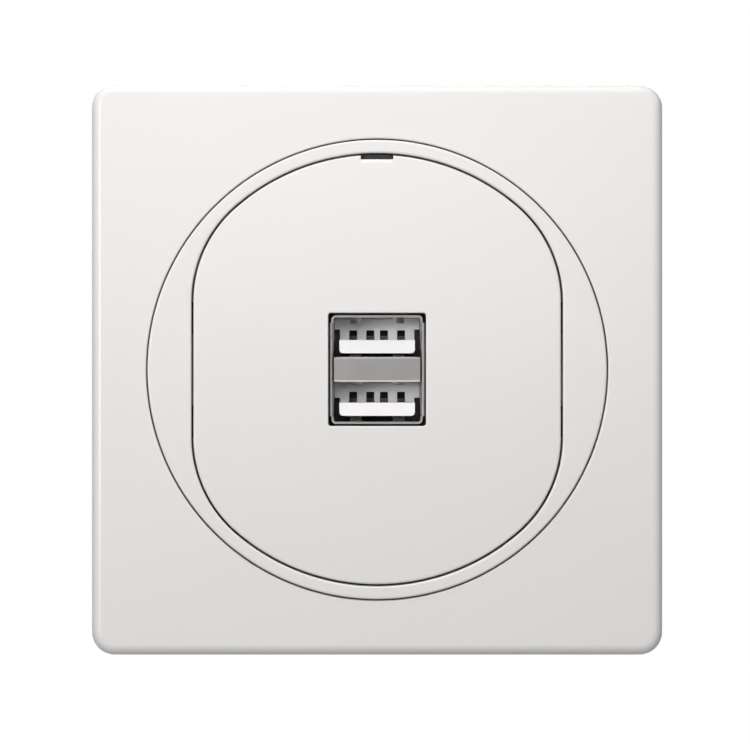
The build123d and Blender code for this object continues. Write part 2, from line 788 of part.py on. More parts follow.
def board_outline(low, high):
    """Board with its corners notched for the housing's bosses."""
    notch = boss_offset - boss_r - board_edge_gap
    outline = Pos(0, (low + high) / 2) * Rectangle(2 * board_half, high - low)
    side = 2 * (board_half - notch)
    for x, z in corners(board_half, board_half):
        outline -= Pos(x, z) * Rectangle(side, side)
    return outline


def usb_board():
    board = slab(board_outline(-board_half, board_half), usb_board_back, usb_board_front)
    for tongue_low in (lower_tongue_low, upper_tongue_low):
        for x in contact_offsets:
            z = tongue_low + tongue_t + contact_lift
            hole = Rectangle(contact_w + 2 * contact_clearance, contact_t + 2 * contact_clearance)
            board -= slab(Pos(x, z) * hole, usb_board_back, usb_board_front)
    for x, z in corners((shell_w - shell_t) / 2, shell_h / 4):
        leg_hole = Rectangle(shell_t + 2 * contact_clearance, shell_leg_w + 2 * contact_clearance)
        board -= slab(Pos(x, z) * leg_hole, usb_board_back, usb_board_front)
    for i in range(link_count):
        board -= round_bar(link_hole_r, link_x(i), link_z, usb_board_back, usb_board_front)
    for can_z in output_places:
        for x, z in can_leads(output_r, output_x, can_z):
            board -= round_bar(lead_r + lead_clearance, x, z, usb_board_back, usb_board_front)
    return board


def power_board():
    board = slab(board_outline(power_board_low, power_board_high), power_board_back, power_board_front)
    for side in (-1, 1):
        hole = Rectangle(bar_pin_w + 2 * contact_clearance, bar_t + 2 * contact_clearance)
        board -= slab(Pos(side * terminal_x, bar_pin_z) * hole, power_board_back, power_board_front)
    for i in range(link_count):
        board -= round_bar(link_hole_r, link_x(i), link_z, power_board_back, power_board_front)
    leads = disc_leads()
    for can_z in bulk_places:
        leads += can_leads(bulk_r, bulk_x, can_z)
    for x, z in leads:
        board -= round_bar(lead_r + lead_clearance, x, z, power_board_back, power_board_front)
    for x, z in transformer_pins():
        board -= round_bar(bobbin_pin_r + lead_clearance, x, z, power_board_back, power_board_front)
    return board


def contact_bar(x):
    """Stamped brass bar under the wire, with a foot in its seat, a riser and a pin to the power board."""
    rear = wire_boss_front - thread_clearance
    bar = block((x - bar_w / 2, x + bar_w / 2), (bar_front, rear), (bar_low, bar_top))
    foot_y = (bar_front, bar_front + bar_foot_length)
    bar += block((x - cage_w / 2, x + cage_w / 2), foot_y, (bar_low, bar_top))
    riser_top = bar_pin_z + bar_t / 2
    riser_x = (x - bar_riser_w / 2, x + bar_riser_w / 2)
    bar += block(riser_x, (bar_front, bar_front + bar_t), (bar_low, riser_top))
    pin_x = (x - bar_pin_w / 2, x + bar_pin_w / 2)
    return bar + block(pin_x, (bar_front, power_board_back + lead_tail), (bar_pin_z - bar_t / 2, riser_top))


def clamp_cage(x):
    """Brass cage round the contact bar and the wire; its lower wall is the screw's nut."""
    y_limits = (terminal_y - cage_depth / 2, terminal_y + cage_depth / 2)
    cage = block((x - cage_w / 2, x + cage_w / 2), y_limits, (cage_low, cage_top))
    inner_w = cage_w / 2 - cage_side
    cage -= block((x - inner_w, x + inner_w), y_limits, (cage_low + cage_nut_t, cage_top - cage_wall))
    return cage - round_post(terminal_screw_r + thread_clearance, x, terminal_y, cage_low - overcut, bar_low)


def terminal_screw(x):
    """Captive clamp screw with a slotted head, reached from below; its tip bears on the contact bar."""
    screw = round_post(terminal_head_r, x, terminal_y, head_low, head_top)
    screw += round_post(terminal_screw_r, x, terminal_y, head_top - weld, bar_low - thread_clearance)
    slot_x = (x - terminal_head_r, x + terminal_head_r)
    slot_y = (terminal_y - recess_w / 2, terminal_y + recess_w / 2)
    return screw - block(slot_x, slot_y, (head_low, head_low + recess_depth))


def link_x(i):
    """Place of one header pin across the board."""
    return (i - (link_count - 1) / 2) * link_pitch


def transformer_stations():
    """Rear and front faces of the bobbin, which stands off the board by the thickness of the core."""
    back = power_board_front - lead_gap - core_leg_t - core_fit
    return back, back - winding_length - 2 * bobbin_flange_t


def transformer_pins():
    """Places of the bobbin's pins, in two rows above and below the core."""
    row = (bobbin_h - bobbin_flange_t) / 2
    pins = [(i * bobbin_pin_pitch, side * row) for side in (-1, 1) for i in (-1, 0, 1)]
    return [(transformer_x + x, transformer_z + z) for x, z in pins]


def transformer_bobbin():
    back, front = transformer_stations()
    flange = Rectangle(core_window - 2 * core_fit, bobbin_h)
    bobbin = slab(Circle(bobbin_core_r), back, front)
    bobbin += slab(flange, front + bobbin_flange_t, front) + slab(flange, back, back - bobbin_flange_t)
    bobbin -= slab(Circle(core_leg_r + core_fit), back, front)
    bobbin = Pos(transformer_x, 0, transformer_z) * bobbin
    for x, z in transformer_pins():
        bobbin += round_bar(bobbin_pin_r, x, z, power_board_back + lead_tail, back - bobbin_flange_t / 2)
    return bobbin


def transformer_winding():
    back, front = transformer_stations()
    inset = bobbin_flange_t + core_fit
    coil = slab(Circle(winding_r) - Circle(bobbin_core_r + core_fit), back - inset, front + inset)
    return Pos(transformer_x, 0, transformer_z) * coil


def transformer_core(facing):
    """E-shaped ferrite half: back, two outer legs and a round centre leg; the halves meet in the middle."""
    back, front = transformer_stations()
    middle = (front + back) / 2
    near = front - core_fit if facing > 0 else back + core_fit
    outside = near - facing * core_leg_t
    face = middle - facing * core_joint / 2
    half = slab(Rectangle(core_window + 2 * core_leg_t, core_h), max(near, outside), min(near, outside))
    half += slab(Circle(core_leg_r), max(near, face), min(near, face))
    for side in (-1, 1):
        leg = Pos(side * (core_window + core_leg_t) / 2, 0) * Rectangle(core_leg_t, core_h)
        half += slab(leg, max(near, face), min(near, face))
    return Pos(transformer_x, 0, transformer_z) * half


def can_leads(radius, x, z):
    """Places of the two leads under a capacitor can."""
    return [(x + side * radius * can_lead_share, z) for side in (-1, 1)]


def disc_leads():
    """Places of the two leads of the safety capacitor."""
    x, z = disc_place
    return [(x, z + side * disc_lead_offset) for side in (-1, 1)]


def capacitor_can(radius, length, x, z, foot, towards):
    """Capacitor can that stands on a board at y = foot, with a bead rolled into it near the foot."""
    tip = foot + towards * (length + lead_gap)
    start = foot + towards * lead_gap
    can = round_bar(radius, x, z, max(start, tip), min(start, tip))
    can = fillet(edges_at(can, tip), can_edge_r)
    bead = start + towards * can_bead_at
    bead_ring = Circle(radius + overcut) - Circle(radius - can_bead_depth)
    can -= slab(Pos(x, z) * bead_ring, bead + can_bead_w / 2, bead - can_bead_w / 2)
    for lead_x, lead_z in can_leads(radius, x, z):
        lead_end = foot - towards * (board_t + lead_tail)
        can += round_bar(lead_r, lead_x, lead_z, max(start, lead_end), min(start, lead_end))
    return can


def chip(box, place, foot, towards):
    """Moulded package that lies on a board at y = foot."""
    width, height, length = box
    start, end = sorted((foot + towards * lead_gap, foot + towards * (height + lead_gap)))
    package = slab(Pos(*place) * Rectangle(width, length), end, start)
    outward = foot + towards * (height + lead_gap)
    return chamfer(edges_at(package, outward), package_bevel)


def filter_choke():
    """Drum core of the input filter, wound between its two rims."""
    foot = power_board_front - lead_gap
    spool = round_bar(choke_r, choke_x, choke_z, foot, foot - choke_length)
    waist = round_bar(choke_r, choke_x, choke_z, foot - choke_rim_t, foot - choke_length + choke_rim_t)
    return spool - (waist - round_bar(choke_core_r, choke_x, choke_z, foot, foot - choke_length))


def choke_winding():
    foot = power_board_front - lead_gap
    start, end = foot - choke_rim_t - core_fit, foot - choke_length + choke_rim_t + core_fit
    coil = Circle(choke_r - choke_winding_inset) - Circle(choke_core_r + core_fit)
    return slab(Pos(choke_x, choke_z) * coil, start, end)


def safety_capacitor():
    """Disc capacitor between the mains side and the output side, standing on its leads."""
    x, z = disc_place
    centre = power_board_front - disc_r - disc_stand
    disc = Pos(x, centre, z) * Rot(0, 90, 0) * Cylinder(disc_r, disc_t)
    disc = fillet(disc.edges().filter_by(GeomType.CIRCLE), disc_t * disc_edge_share)
    for lead_x, lead_z in disc_leads():
        disc += round_bar(lead_r, lead_x, lead_z, power_board_back + lead_tail, centre)
    return disc


def link_strip():
    half = link_count * link_pitch / 2
    back = usb_board_back + lead_gap + link_block_t
    strip = slab(Pos(0, link_z) * Rectangle(2 * half, link_block_h), back, usb_board_back + lead_gap)
    for i in range(link_count):
        side = link_pin + 2 * thread_clearance
        strip -= slab(Pos(link_x(i), link_z) * Rectangle(side, side), back, usb_board_back)
    return strip


def link_pins():
    pins = [Pos(link_x(i), link_z) * Rectangle(link_pin, link_pin) for i in range(link_count)]
    return [slab(pin, power_board_back + lead_tail, usb_board_front - lead_tail) for pin in pins]


def write(name, shape):
    """Writes one node, a single solid or a list of separate solids."""
    solids = shape if isinstance(shape, list) else [shape]
    solids = [s for one in solids for s in one.solids()]
    export_step(solids[0] if len(solids) == 1 else Compound(children=solids), f"parts/{name}.step")


def main():
    os.makedirs("parts", exist_ok=True)
    write("finishing_plate", finishing_plate())
    write("trim_ring", trim_ring())
    write("centre_cover", centre_cover())
    write("support_frame", support_frame())
    write("housing_front", housing_front())
    write("housing_rear", housing_rear())
    for i, (x, z) in enumerate(corners(boss_offset, boss_offset), 1):
        write(f"housing_screw_{i}", housing_screw(x, z))
    for i, (x, z) in enumerate(corners(frame_screw_offset, frame_screw_offset), 1):
        write(f"frame_screw_{i}", frame_screw(x, z))
    write("usb_shell", usb_shell())
    write("usb_divider", usb_divider())
    write("upper_insulator", insulator(divider_h / 2, port_top, upper_tongue_low, upper_shoulder))
    write("lower_insulator", insulator(-port_top, -divider_h / 2, lower_tongue_low, lower_shoulder))
    for port, tongue_low in (("upper", upper_tongue_low), ("lower", lower_tongue_low)):
        for i, x in enumerate(contact_offsets, 1):
            write(f"{port}_contact_{i}", usb_contact(x, tongue_low))
    write("usb_board", usb_board())
    write("power_board", power_board())
    for name, side in (("line", -1), ("neutral", 1)):
        write(f"{name}_contact_bar", contact_bar(side * terminal_x))
        write(f"{name}_clamp_cage", clamp_cage(side * terminal_x))
        write(f"{name}_terminal_screw", terminal_screw(side * terminal_x))
    write("transformer_bobbin", transformer_bobbin())
    write("transformer_winding", transformer_winding())
    write("transformer_core_front", transformer_core(1))
    write("transformer_core_rear", transformer_core(-1))
    for i, z in enumerate(bulk_places, 1):
        write(f"bulk_capacitor_{i}", capacitor_can(bulk_r, bulk_length, bulk_x, z, power_board_front, -1))
    for i, z in enumerate(output_places, 1):
        write(f"output_capacitor_{i}", capacitor_can(output_r, output_length, output_x, z, usb_board_back, 1))
    write("filter_choke_core", filter_choke())
    write("filter_choke_winding", choke_winding())
    write("input_fuse", chip(fuse_box, (choke_x, fuse_z), power_board_front, -1))
    write("safety_capacitor", safety_capacitor())
    write("bridge_rectifier", chip(bridge_box, bridge_place, power_board_front, -1))
    write("switching_chip", chip(switch_box, switch_place, power_board_front, -1))
    write("charge_chip", chip(charge_box, charge_place, usb_board_back, 1))
    write("output_rectifier", chip(rectifier_box, rectifier_place, usb_board_back, 1))
    write("link_strip", link_strip())
    write("link_pins", link_pins())


main()
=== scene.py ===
"""Looks of a flush wall socket with two stacked USB ports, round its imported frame, in metres."""
import json
import logging
import math
from collections.abc import Callable, Iterable, Sequence
from dataclasses import asdict, dataclass, field
from enum import Enum

import bmesh
import bpy
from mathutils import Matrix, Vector


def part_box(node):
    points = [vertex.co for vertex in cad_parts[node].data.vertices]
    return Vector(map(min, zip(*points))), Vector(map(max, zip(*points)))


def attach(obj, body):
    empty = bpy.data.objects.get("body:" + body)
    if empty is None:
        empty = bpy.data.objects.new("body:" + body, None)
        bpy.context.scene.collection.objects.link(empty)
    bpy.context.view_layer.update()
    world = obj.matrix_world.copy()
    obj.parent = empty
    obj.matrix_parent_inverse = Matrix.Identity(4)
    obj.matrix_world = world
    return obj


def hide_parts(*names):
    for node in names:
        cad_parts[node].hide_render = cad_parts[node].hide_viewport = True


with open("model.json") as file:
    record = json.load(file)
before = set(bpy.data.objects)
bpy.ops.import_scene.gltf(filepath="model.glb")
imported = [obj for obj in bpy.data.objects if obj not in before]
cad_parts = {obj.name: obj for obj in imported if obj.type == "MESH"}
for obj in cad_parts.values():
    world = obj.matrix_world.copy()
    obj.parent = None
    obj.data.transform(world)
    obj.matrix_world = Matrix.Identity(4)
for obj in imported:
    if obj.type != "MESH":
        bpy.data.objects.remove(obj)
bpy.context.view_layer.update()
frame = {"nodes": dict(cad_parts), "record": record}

LOG = logging.getLogger("socket")
MM = 0.001
QUARTER = math.pi / 2
SHARP_ANGLE = math.radians(38.0)
TONGUE_LENGTH = 8.6 * MM
Colour = tuple[float, float, float]
Point = tuple[float, float, float]
Pair = tuple[float, float]
Inputs = dict[str, object]
Piece = bpy.types.Object
ZERO: Point = (0.0, 0.0, 0.0)


class Body(str, Enum):
    """The bodies that pieces ride on."""

    MECHANISM = "mechanism"
    PLATE = "plate"
    RING = "ring"
    COVER = "cover"


class Side(Enum):
    """Which way a rounding turns between a wall and a face."""

    WALL_TO_FACE = "wall to face"
    FACE_TO_WALL = "face to wall"


class Value:
    """A node's output that takes part in sums and products."""

    def __init__(self, graph: "Graph", socket: bpy.types.NodeSocket) -> None:
        """Keeps the socket and the graph that it belongs to.

        Args:
            graph: Graph that new nodes are added to.
            socket: Output socket that this value stands for.
        """
        self.graph = graph
        self.socket = socket

    def math(self, operation: str, *others: "Value | float") -> "Value":
        """Adds a Math node on this value.

        Args:
            operation: Name of the operation.
            others: The further operands.

        Returns:
            The node's output.
        """
        operands = dict(enumerate((self, *others)))
        return self.graph.node("ShaderNodeMath", {"operation": operation}, operands)

    def __add__(self, other: "Value | float") -> "Value":
        """Returns self + other."""
        return self.math("ADD", other)

    __radd__ = __add__

    def __mul__(self, other: "Value | float") -> "Value":
        """Returns self * other."""
        return self.math("MULTIPLY", other)

    __rmul__ = __mul__

    def __sub__(self, other: "Value | float") -> "Value":
        """Returns self - other."""
        return self.math("SUBTRACT", other)

    def __rsub__(self, other: float) -> "Value":
        """Returns other - self."""
        return self * -1.0 + other

    def __truediv__(self, other: "Value | float") -> "Value":
        """Returns self / other."""
        return self.math("DIVIDE", other)

    def above(self, level: float) -> "Value":
        """Returns 1 where self is above the level, and 0 elsewhere."""
        return self.math("GREATER_THAN", level)

    def below(self, level: float) -> "Value":
        """Returns 1 where self is below the level, and 0 elsewhere."""
        return self.math("LESS_THAN", level)

    def swing(self, width: float) -> "Value":
        """Returns a noise about one half as a swing of this width about zero."""
        return (self - 0.5) * width


class Graph:
    """A node tree, of a material or of geometry, that nodes are added to."""

    def __init__(self, tree: bpy.types.NodeTree) -> None:
        """Empties the tree.

        Args:
            tree: Node tree to build in.
        """
        self.tree = tree
        tree.nodes.clear()

    def node(
        self,
        kind: str,
        settings: dict[str, object] | None = None,
        inputs: dict[str | int, object] | None = None,
        output: str | int = 0,
    ) -> Value:
        """Adds one node.

        Args:
            kind: Type name of the node.
            settings: Properties of the node.
            inputs: Values or links of its sockets, by name or number.
            output: Name or number of the output to return.

        Returns:
            The chosen output.
        """
        made = self.tree.nodes.new(kind)
        for key, setting in (settings or {}).items():
            setattr(made, key, setting)
        for key, entry in (inputs or {}).items():
            for source in entry if isinstance(entry, list) else [entry]:
                if isinstance(source, Value):
                    self.tree.links.new(source.socket, made.inputs[key])
                else:
                    made.inputs[key].default_value = source
        return Value(self, made.outputs[output] if made.outputs else None)

    def outputs(self, kind: str, *names: str) -> list[Value]:
        """Adds a node without inputs and returns some of its outputs."""
        sockets = self.node(kind).socket.node.outputs
        return [Value(self, sockets[name]) for name in names]

    def noise(self, place: Value, scale: float, detail: float = 2.0) -> Value:
        """Returns a noise from 0 to 1 whose grains are about 1 / scale metres wide."""
        grains = {"Vector": place, "Scale": scale, "Detail": detail}
        return self.node("ShaderNodeTexNoise", {}, grains)

    def axes(self, place: Value) -> tuple[Value, Value, Value]:
        """Returns the three coordinates of a place."""
        parts = self.node("ShaderNodeSeparateXYZ", {}, {0: place}).socket.node.outputs
        return tuple(Value(self, part) for part in parts)

    def tint(self, factor: Value, first: Value | Colour, second: Value | Colour) -> Value:
        """Mixes two colours.

        Args:
            factor: 0 for the first colour, 1 for the second.
            first: A colour.
            second: Another colour.

        Returns:
            The mixed colour.
        """
        ends = [end if isinstance(end, Value) else (*end, 1.0) for end in (first, second)]
        mixed = {0: factor, 6: ends[0], 7: ends[1]}
        return self.node("ShaderNodeMix", {"data_type": "RGBA"}, mixed, output=2)

    def stretch(self, place: Value, scale: Point) -> Value:
        """Returns the coordinates scaled on each axis."""
        return self.node("ShaderNodeVectorMath", {"operation": "MULTIPLY"}, {0: place, 1: scale})

    def bump(self, height: Value, depth: float, strength: float) -> Value:
        """Returns the normal of a surface raised by height times depth metres."""
        relief = {"Height": height, "Distance": depth, "Strength": strength}
        return self.node("ShaderNodeBump", {}, relief)


@dataclass(frozen=True)
class Finish:
    """What all finishes share: a name, the record's slot and a colour."""

    name: str
    slot: str
    colour: Colour

    def shade(self, graph: Graph, place: Value) -> Inputs:
        """Returns the inputs of the shader; each finish gives its own."""
        raise NotImplementedError

    def material(self) -> bpy.types.Material:
        """Builds the material, once.

        Returns:
            The material of this finish.
        """
        if self.name in bpy.data.materials:
            return bpy.data.materials[self.name]
        made = bpy.data.materials.new(self.name)
        made.use_nodes = True
        graph = Graph(made.node_tree)
        place = graph.node("ShaderNodeTexCoord", output="Object")
        shader = graph.node("ShaderNodeBsdfPrincipled", {}, self.shade(graph, place))
        graph.node("ShaderNodeOutputMaterial", {}, {"Surface": shader})
        return made

    def darker(self, share: float) -> Colour:
        """Returns the colour with this share of its light taken away."""
        return tuple(c * (1.0 - share) for c in self.colour)


@dataclass(frozen=True)
class Moulding(Finish):
    """Moulded plastic: an even tone with faint flow marks and a fine skin."""

    roughness: float = 0.45
    spread: float = 0.05
    mottle: float = 0.02
    flow_scale: float = 70.0
    grain: float = 1800.0
    grain_detail: float = 3.0
    grain_depth: float = 0.000006
    grain_strength: float = 0.12

    def shade(self, graph: Graph, place: Value) -> Inputs:
        """Shades by flow marks in the tone, and by the skin in roughness and bump.

        Args:
            graph: Graph of the material.
            place: Object coordinates.

        Returns:
            The inputs of the shader.
        """
        flow = graph.noise(place, self.flow_scale)
        skin = graph.noise(place, self.grain, self.grain_detail)
        return {
            "Base Color": graph.tint(flow, self.darker(self.mottle), self.colour),
            "Roughness": skin.swing(self.spread) + flow.swing(self.spread) + self.roughness,
            "Normal": graph.bump(skin, self.grain_depth, self.grain_strength),
        }


@dataclass(frozen=True)
class PaintedShadeMoulding(Moulding):
    """Moulding with painted shade: behind one depth, a dark colour stands in for the shade of its
    hollows.
    """

    painted_shade_from: float = 0.0
    # painted shade: the dark colour of the pocket beside the tongue and of its contact slots
    deep: Colour = (0.09, 0.084, 0.095)

    def shade(self, graph: Graph, place: Value) -> Inputs:
        """Shades as the moulding does, and paints shade in the hollows behind one depth.

        Args:
            graph: Graph of the material.
            place: Object coordinates.

        Returns:
            The inputs of the shader.
        """
        inputs = super().shade(graph, place)
        # painted shade: everything behind the set depth takes the dark colour
        in_painted_shade = graph.axes(place)[1].above(self.painted_shade_from)
        inputs["Base Color"] = graph.tint(in_painted_shade, inputs["Base Color"], self.deep)
        return inputs


@dataclass(frozen=True)
class SheetMetal(Finish):
    """Plated sheet or wire: rolled streaks along one axis and a fine scatter of the plating."""

    roughness: float = 0.3
    spread: float = 0.16
    mottle: float = 0.14
    streak: Point = (1.0, 1.0, 14.0)
    streak_scale: float = 260.0
    streak_detail: float = 4.0
    streak_share: float = 0.7
    streak_depth: float = 0.00002
    streak_strength: float = 0.2

    def shade(self, graph: Graph, place: Value) -> Inputs:
        """Shades by streaks in tone, roughness and bump.

        Args:
            graph: Graph of the material.
            place: Object coordinates.

        Returns:
            The inputs of the shader.
        """
        along = graph.stretch(place, self.streak)
        rolled = graph.noise(along, self.streak_scale, self.streak_detail)
        patch = graph.noise(place, self.streak_scale)
        worn = rolled * self.streak_share + patch * (1.0 - self.streak_share)
        return {
            "Base Color": graph.tint(worn, self.darker(self.mottle), self.colour),
            "Metallic": 1.0,
            "Roughness": worn.swing(self.spread) + self.roughness,
            "Normal": graph.bump(rolled, self.streak_depth, self.streak_strength),
        }


@dataclass(frozen=True)
class Laminate(Finish):
    """Circuit board: solder mask over copper tracks that jog now and then, over a faint weave."""

    track: Colour = (0.014, 0.032, 0.02)
    track_pitch: float = 2.2 * MM
    track_share: float = 0.34
    jog_length: float = 8.5 * MM
    jog: float = 0.37
    land_share: float = 0.86
    weave_scale: float = 1500.0
    weave_relief: float = 0.1
    roughness: float = 0.3
    spread: float = 0.1
    depth: float = 0.00004
    strength: float = 0.4

    def shade(self, graph: Graph, place: Value) -> Inputs:
        """Shades by tracks in tone and bump, and by the weave in roughness.

        Args:
            graph: Graph of the material.
            place: Object coordinates.

        Returns:
            The inputs of the shader.
        """
        across, _, up = graph.axes(place)
        stretch = across / self.jog_length
        lane = (up / self.track_pitch + stretch.math("FLOOR") * self.jog).math("FRACT")
        track = lane.above(1.0 - self.track_share)
        copper = track * stretch.math("FRACT").below(self.land_share)
        weave = graph.noise(place, self.weave_scale)
        return {
            "Base Color": graph.tint(copper, self.colour, self.track),
            "Roughness": weave.swing(self.spread) + self.roughness,
            "Normal": graph.bump(copper + weave * self.weave_relief, self.depth, self.strength),
        }


@dataclass(frozen=True)
class Grained(Finish):
    """Fired or coated body: speckled tone and a coarse skin."""

    speck: Colour = (0.2, 0.2, 0.2)
    speck_scale: float = 2600.0
    speck_detail: float = 4.0
    speck_level: float = 0.62
    speck_share: float = 0.5
    roughness: float = 0.55
    spread: float = 0.3
    depth: float = 0.00003
    strength: float = 0.5

    def shade(self, graph: Graph, place: Value) -> Inputs:
        """Shades by specks in tone, and by the grain in roughness and bump.

        Args:
            graph: Graph of the material.
            place: Object coordinates.

        Returns:
            The inputs of the shader.
        """
        grain = graph.noise(place, self.speck_scale, self.speck_detail)
        speck = grain.above(self.speck_level) * self.speck_share
        return {
            "Base Color": graph.tint(speck, self.colour, self.speck),
            "Roughness": grain.swing(self.spread) + self.roughness,
            "Normal": graph.bump(grain, self.depth, self.strength),
        }


@dataclass(frozen=True)
class Sleeved(Finish):
    """Capacitor can: a shrunk sleeve with a pale stripe, and bare metal at its open end."""

    middle: Pair
    radius: float
    top: float
    stripe: Colour = (0.3, 0.31, 0.33)
    metal: Colour = (0.6, 0.6, 0.6)
    stripe_from: float = 0.86
    bare_to: float = 0.84
    end_reach: float = 0.15 * MM
    skin_scale: float = 900.0
    skin_detail: float = 3.0
    roughness: float = 0.22
    spread: float = 0.14
    bare_roughness: float = 0.12
    depth: float = 0.00001
    strength: float = 0.2

    def shade(self, graph: Graph, place: Value) -> Inputs:
        """Shades by the side that faces outwards, and by the place on the open end.

        Args:
            graph: Graph of the material.
            place: Object coordinates.

        Returns:
            The inputs of the shader.
        """
        across, along, up = graph.axes(place)
        side = (across - self.middle[0]) / self.radius
        rise = (up - self.middle[1]) / self.radius
        out = (side * side + rise * rise).math("SQRT")
        at_end = (along - self.top).math("ABSOLUTE").below(self.end_reach)
        bare = out.below(self.bare_to) * at_end
        outwards = side * math.copysign(1.0, self.middle[0])
        sleeve = graph.tint(outwards.above(self.stripe_from), self.colour, self.stripe)
        skin = graph.noise(place, self.skin_scale, self.skin_detail)
        return {
            "Base Color": graph.tint(bare, sleeve, self.metal),
            "Metallic": bare,
            "Roughness": skin.swing(self.spread) + bare * self.bare_roughness + self.roughness,
            "Normal": graph.bump(skin, self.depth, self.strength),
        }

    @classmethod
    def over(cls, node: str, towards_wall: bool) -> "Sleeved":
        """Gives one capacitor its finish.

        Args:
            node: Its node.
            towards_wall: Whether its open end faces the wall.

        Returns:
            The finish, placed by the node's box.
        """
        low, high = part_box(node)
        middle = ((low[0] + high[0]) / 2, (low[2] + high[2]) / 2)
        top = high[1] if towards_wall else low[1]
        radius = (high[0] - low[0]) / 2
        return cls(f"{node} sleeve", "capacitor_sleeve", (0.012, 0.015, 0.035), middle, radius, top)


WHITE = Moulding("white moulding", "white_plastic", (0.82, 0.804, 0.788), roughness=0.2)
DARK = Moulding(
    "dark moulding",
    "housing_plastic",
    (0.028, 0.027, 0.027),
    roughness=0.5,
    mottle=0.2,
    grain_depth=0.00003,
)
BRIGHT = SheetMetal(
    "bright sheet",
    "shell_steel",
    (0.8, 0.785, 0.77),
    roughness=0.36,
    spread=0.08,
    mottle=0.06,
    streak_strength=0.06,
)
ZINC = SheetMetal(
    "zinc sheet",
    "zinc_steel",
    (0.55, 0.56, 0.58),
    roughness=0.34,
    spread=0.24,
    mottle=0.25,
    streak=(1.0, 1.0, 1.0),
)
SCREW_STEEL = SheetMetal(
    "screw steel", "screw_steel", (0.6, 0.61, 0.62), roughness=0.28, streak=(3.0, 3.0, 3.0)
)
GOLD = SheetMetal("contact gold", "contact_gold", (0.36, 0.33, 0.3), roughness=0.32)
BRASS = SheetMetal("terminal brass", "terminal_brass", (0.72, 0.54, 0.22))
COPPER = SheetMetal("winding copper", "copper_wire", (0.62, 0.24, 0.08), mottle=0.3)
BOARD = Laminate("board laminate", "board_laminate", (0.007, 0.016, 0.01))
FERRITE = Grained("fired ferrite", "ferrite", (0.035, 0.035, 0.038))
BOBBIN = Moulding("bobbin moulding", "bobbin_plastic", (0.03, 0.028, 0.025), mottle=0.2)
DISC = Grained(
    "dipped disc", "disc_coating", (0.02, 0.07, 0.28), speck=(0.05, 0.12, 0.4), roughness=0.35
)
PACKAGE = Grained(
    "moulded package", "package_plastic", (0.02, 0.02, 0.021), speck=(0.06, 0.06, 0.06)
)
HEADER = Moulding("header strip", "header_plastic", (0.012, 0.012, 0.012), mottle=0.3)
FLOOR = Moulding(
    "pale floor", "white_plastic", (0.4, 0.4, 0.4), roughness=0.8, mottle=0.01, grain=400.0
)
KEPT_FINISHES = (
    WHITE, DARK, ZINC, SCREW_STEEL, BRIGHT, GOLD, BOARD,
    BRASS, FERRITE, COPPER, BOBBIN, DISC, PACKAGE, HEADER,
)

ARC_DEPTH = 0.3
SPREAD_SHARE = 1.1
SPREAD_LEAST = 0.004
TIGHTEST_BEND = 0.01 * MM
CLOSEST_RAYS = 2e-4


@dataclass(frozen=True)
class Outline:
    """A closed curve round the Y axis, given by how far out it lies in each direction."""

    def reach(self, angle: float, inset: float) -> float:
        """Returns the distance from the axis at an angle, once the curve is moved in by inset."""
        raise NotImplementedError

    def corners(self) -> list[Pair]:
        """Returns the middle angle and half the spread of each tight bend."""
        return []


@dataclass(frozen=True)
class Circle(Outline):
    """A circle."""

    radius: float

    def reach(self, angle: float, inset: float) -> float:
        """Returns the distance from the axis."""
        return self.radius - inset


@dataclass(frozen=True)
class RoundedBox(Outline):
    """A rectangle with rounded corners."""

    half_w: float
    half_h: float
    corner: float

    def reach(self, angle: float, inset: float) -> float:
        """Finds the side or the corner's arc that a ray meets.

        Args:
            angle: Direction of the ray.
            inset: How far the rectangle is moved in.

        Returns:
            The distance from the axis.
        """
        c, s = abs(math.cos(angle)), abs(math.sin(angle))
        w, h = self.half_w - inset, self.half_h - inset
        bend = max(self.corner - inset, TIGHTEST_BEND)
        if w * s <= (h - bend) * c:
            return w / c
        if h * c <= (w - bend) * s:
            return h / s
        return arc_reach(c, s, w - bend, h - bend, bend)

    def corners(self) -> list[Pair]:
        """Lists the four corners.

        Returns:
            The middle angle and half the spread of each.
        """
        inner = self.corner * ARC_DEPTH
        middle = math.atan2(self.half_h - inner, self.half_w - inner)
        spread = SPREAD_SHARE * self.corner / math.hypot(self.half_w, self.half_h) + SPREAD_LEAST
        turns = (middle, math.pi - middle, math.pi + middle, 2 * math.pi - middle)
        return [(turn, spread) for turn in turns]


@dataclass(frozen=True)
class FlattedCircle(Outline):
    """A circle cut off by two upright lines, with a blend where each line meets the circle."""

    radius: float
    half_w: float
    blend: float

    def reach(self, angle: float, inset: float) -> float:
        """Finds the line, the blend or the circle that a ray meets.

        Args:
            angle: Direction of the ray.
            inset: How far the curve is moved in.

        Returns:
            The distance from the axis.
        """
        c, s = abs(math.cos(angle)), abs(math.sin(angle))
        middle_x = self.half_w - self.blend
        middle_z = math.sqrt((self.radius - self.blend) ** 2 - middle_x**2)
        if (self.half_w - inset) * s <= middle_z * c:
            return (self.half_w - inset) / c
        if s * middle_x >= c * middle_z:
            return self.radius - inset
        return arc_reach(c, s, middle_x, middle_z, self.blend - inset)


def arc_reach(c: float, s: float, middle_x: float, middle_z: float, radius: float) -> float:
    """Finds where a ray from the axis leaves a circle.

    Args:
        c: Cosine of the ray's angle.
        s: Sine of the ray's angle.
        middle_x: Circle's centre across.
        middle_z: Circle's centre up.
        radius: Circle's radius.

    Returns:
        The distance along the ray.
    """
    along = middle_x * c + middle_z * s
    return along + math.sqrt(max(along**2 - middle_x**2 - middle_z**2 + radius**2, 0.0))


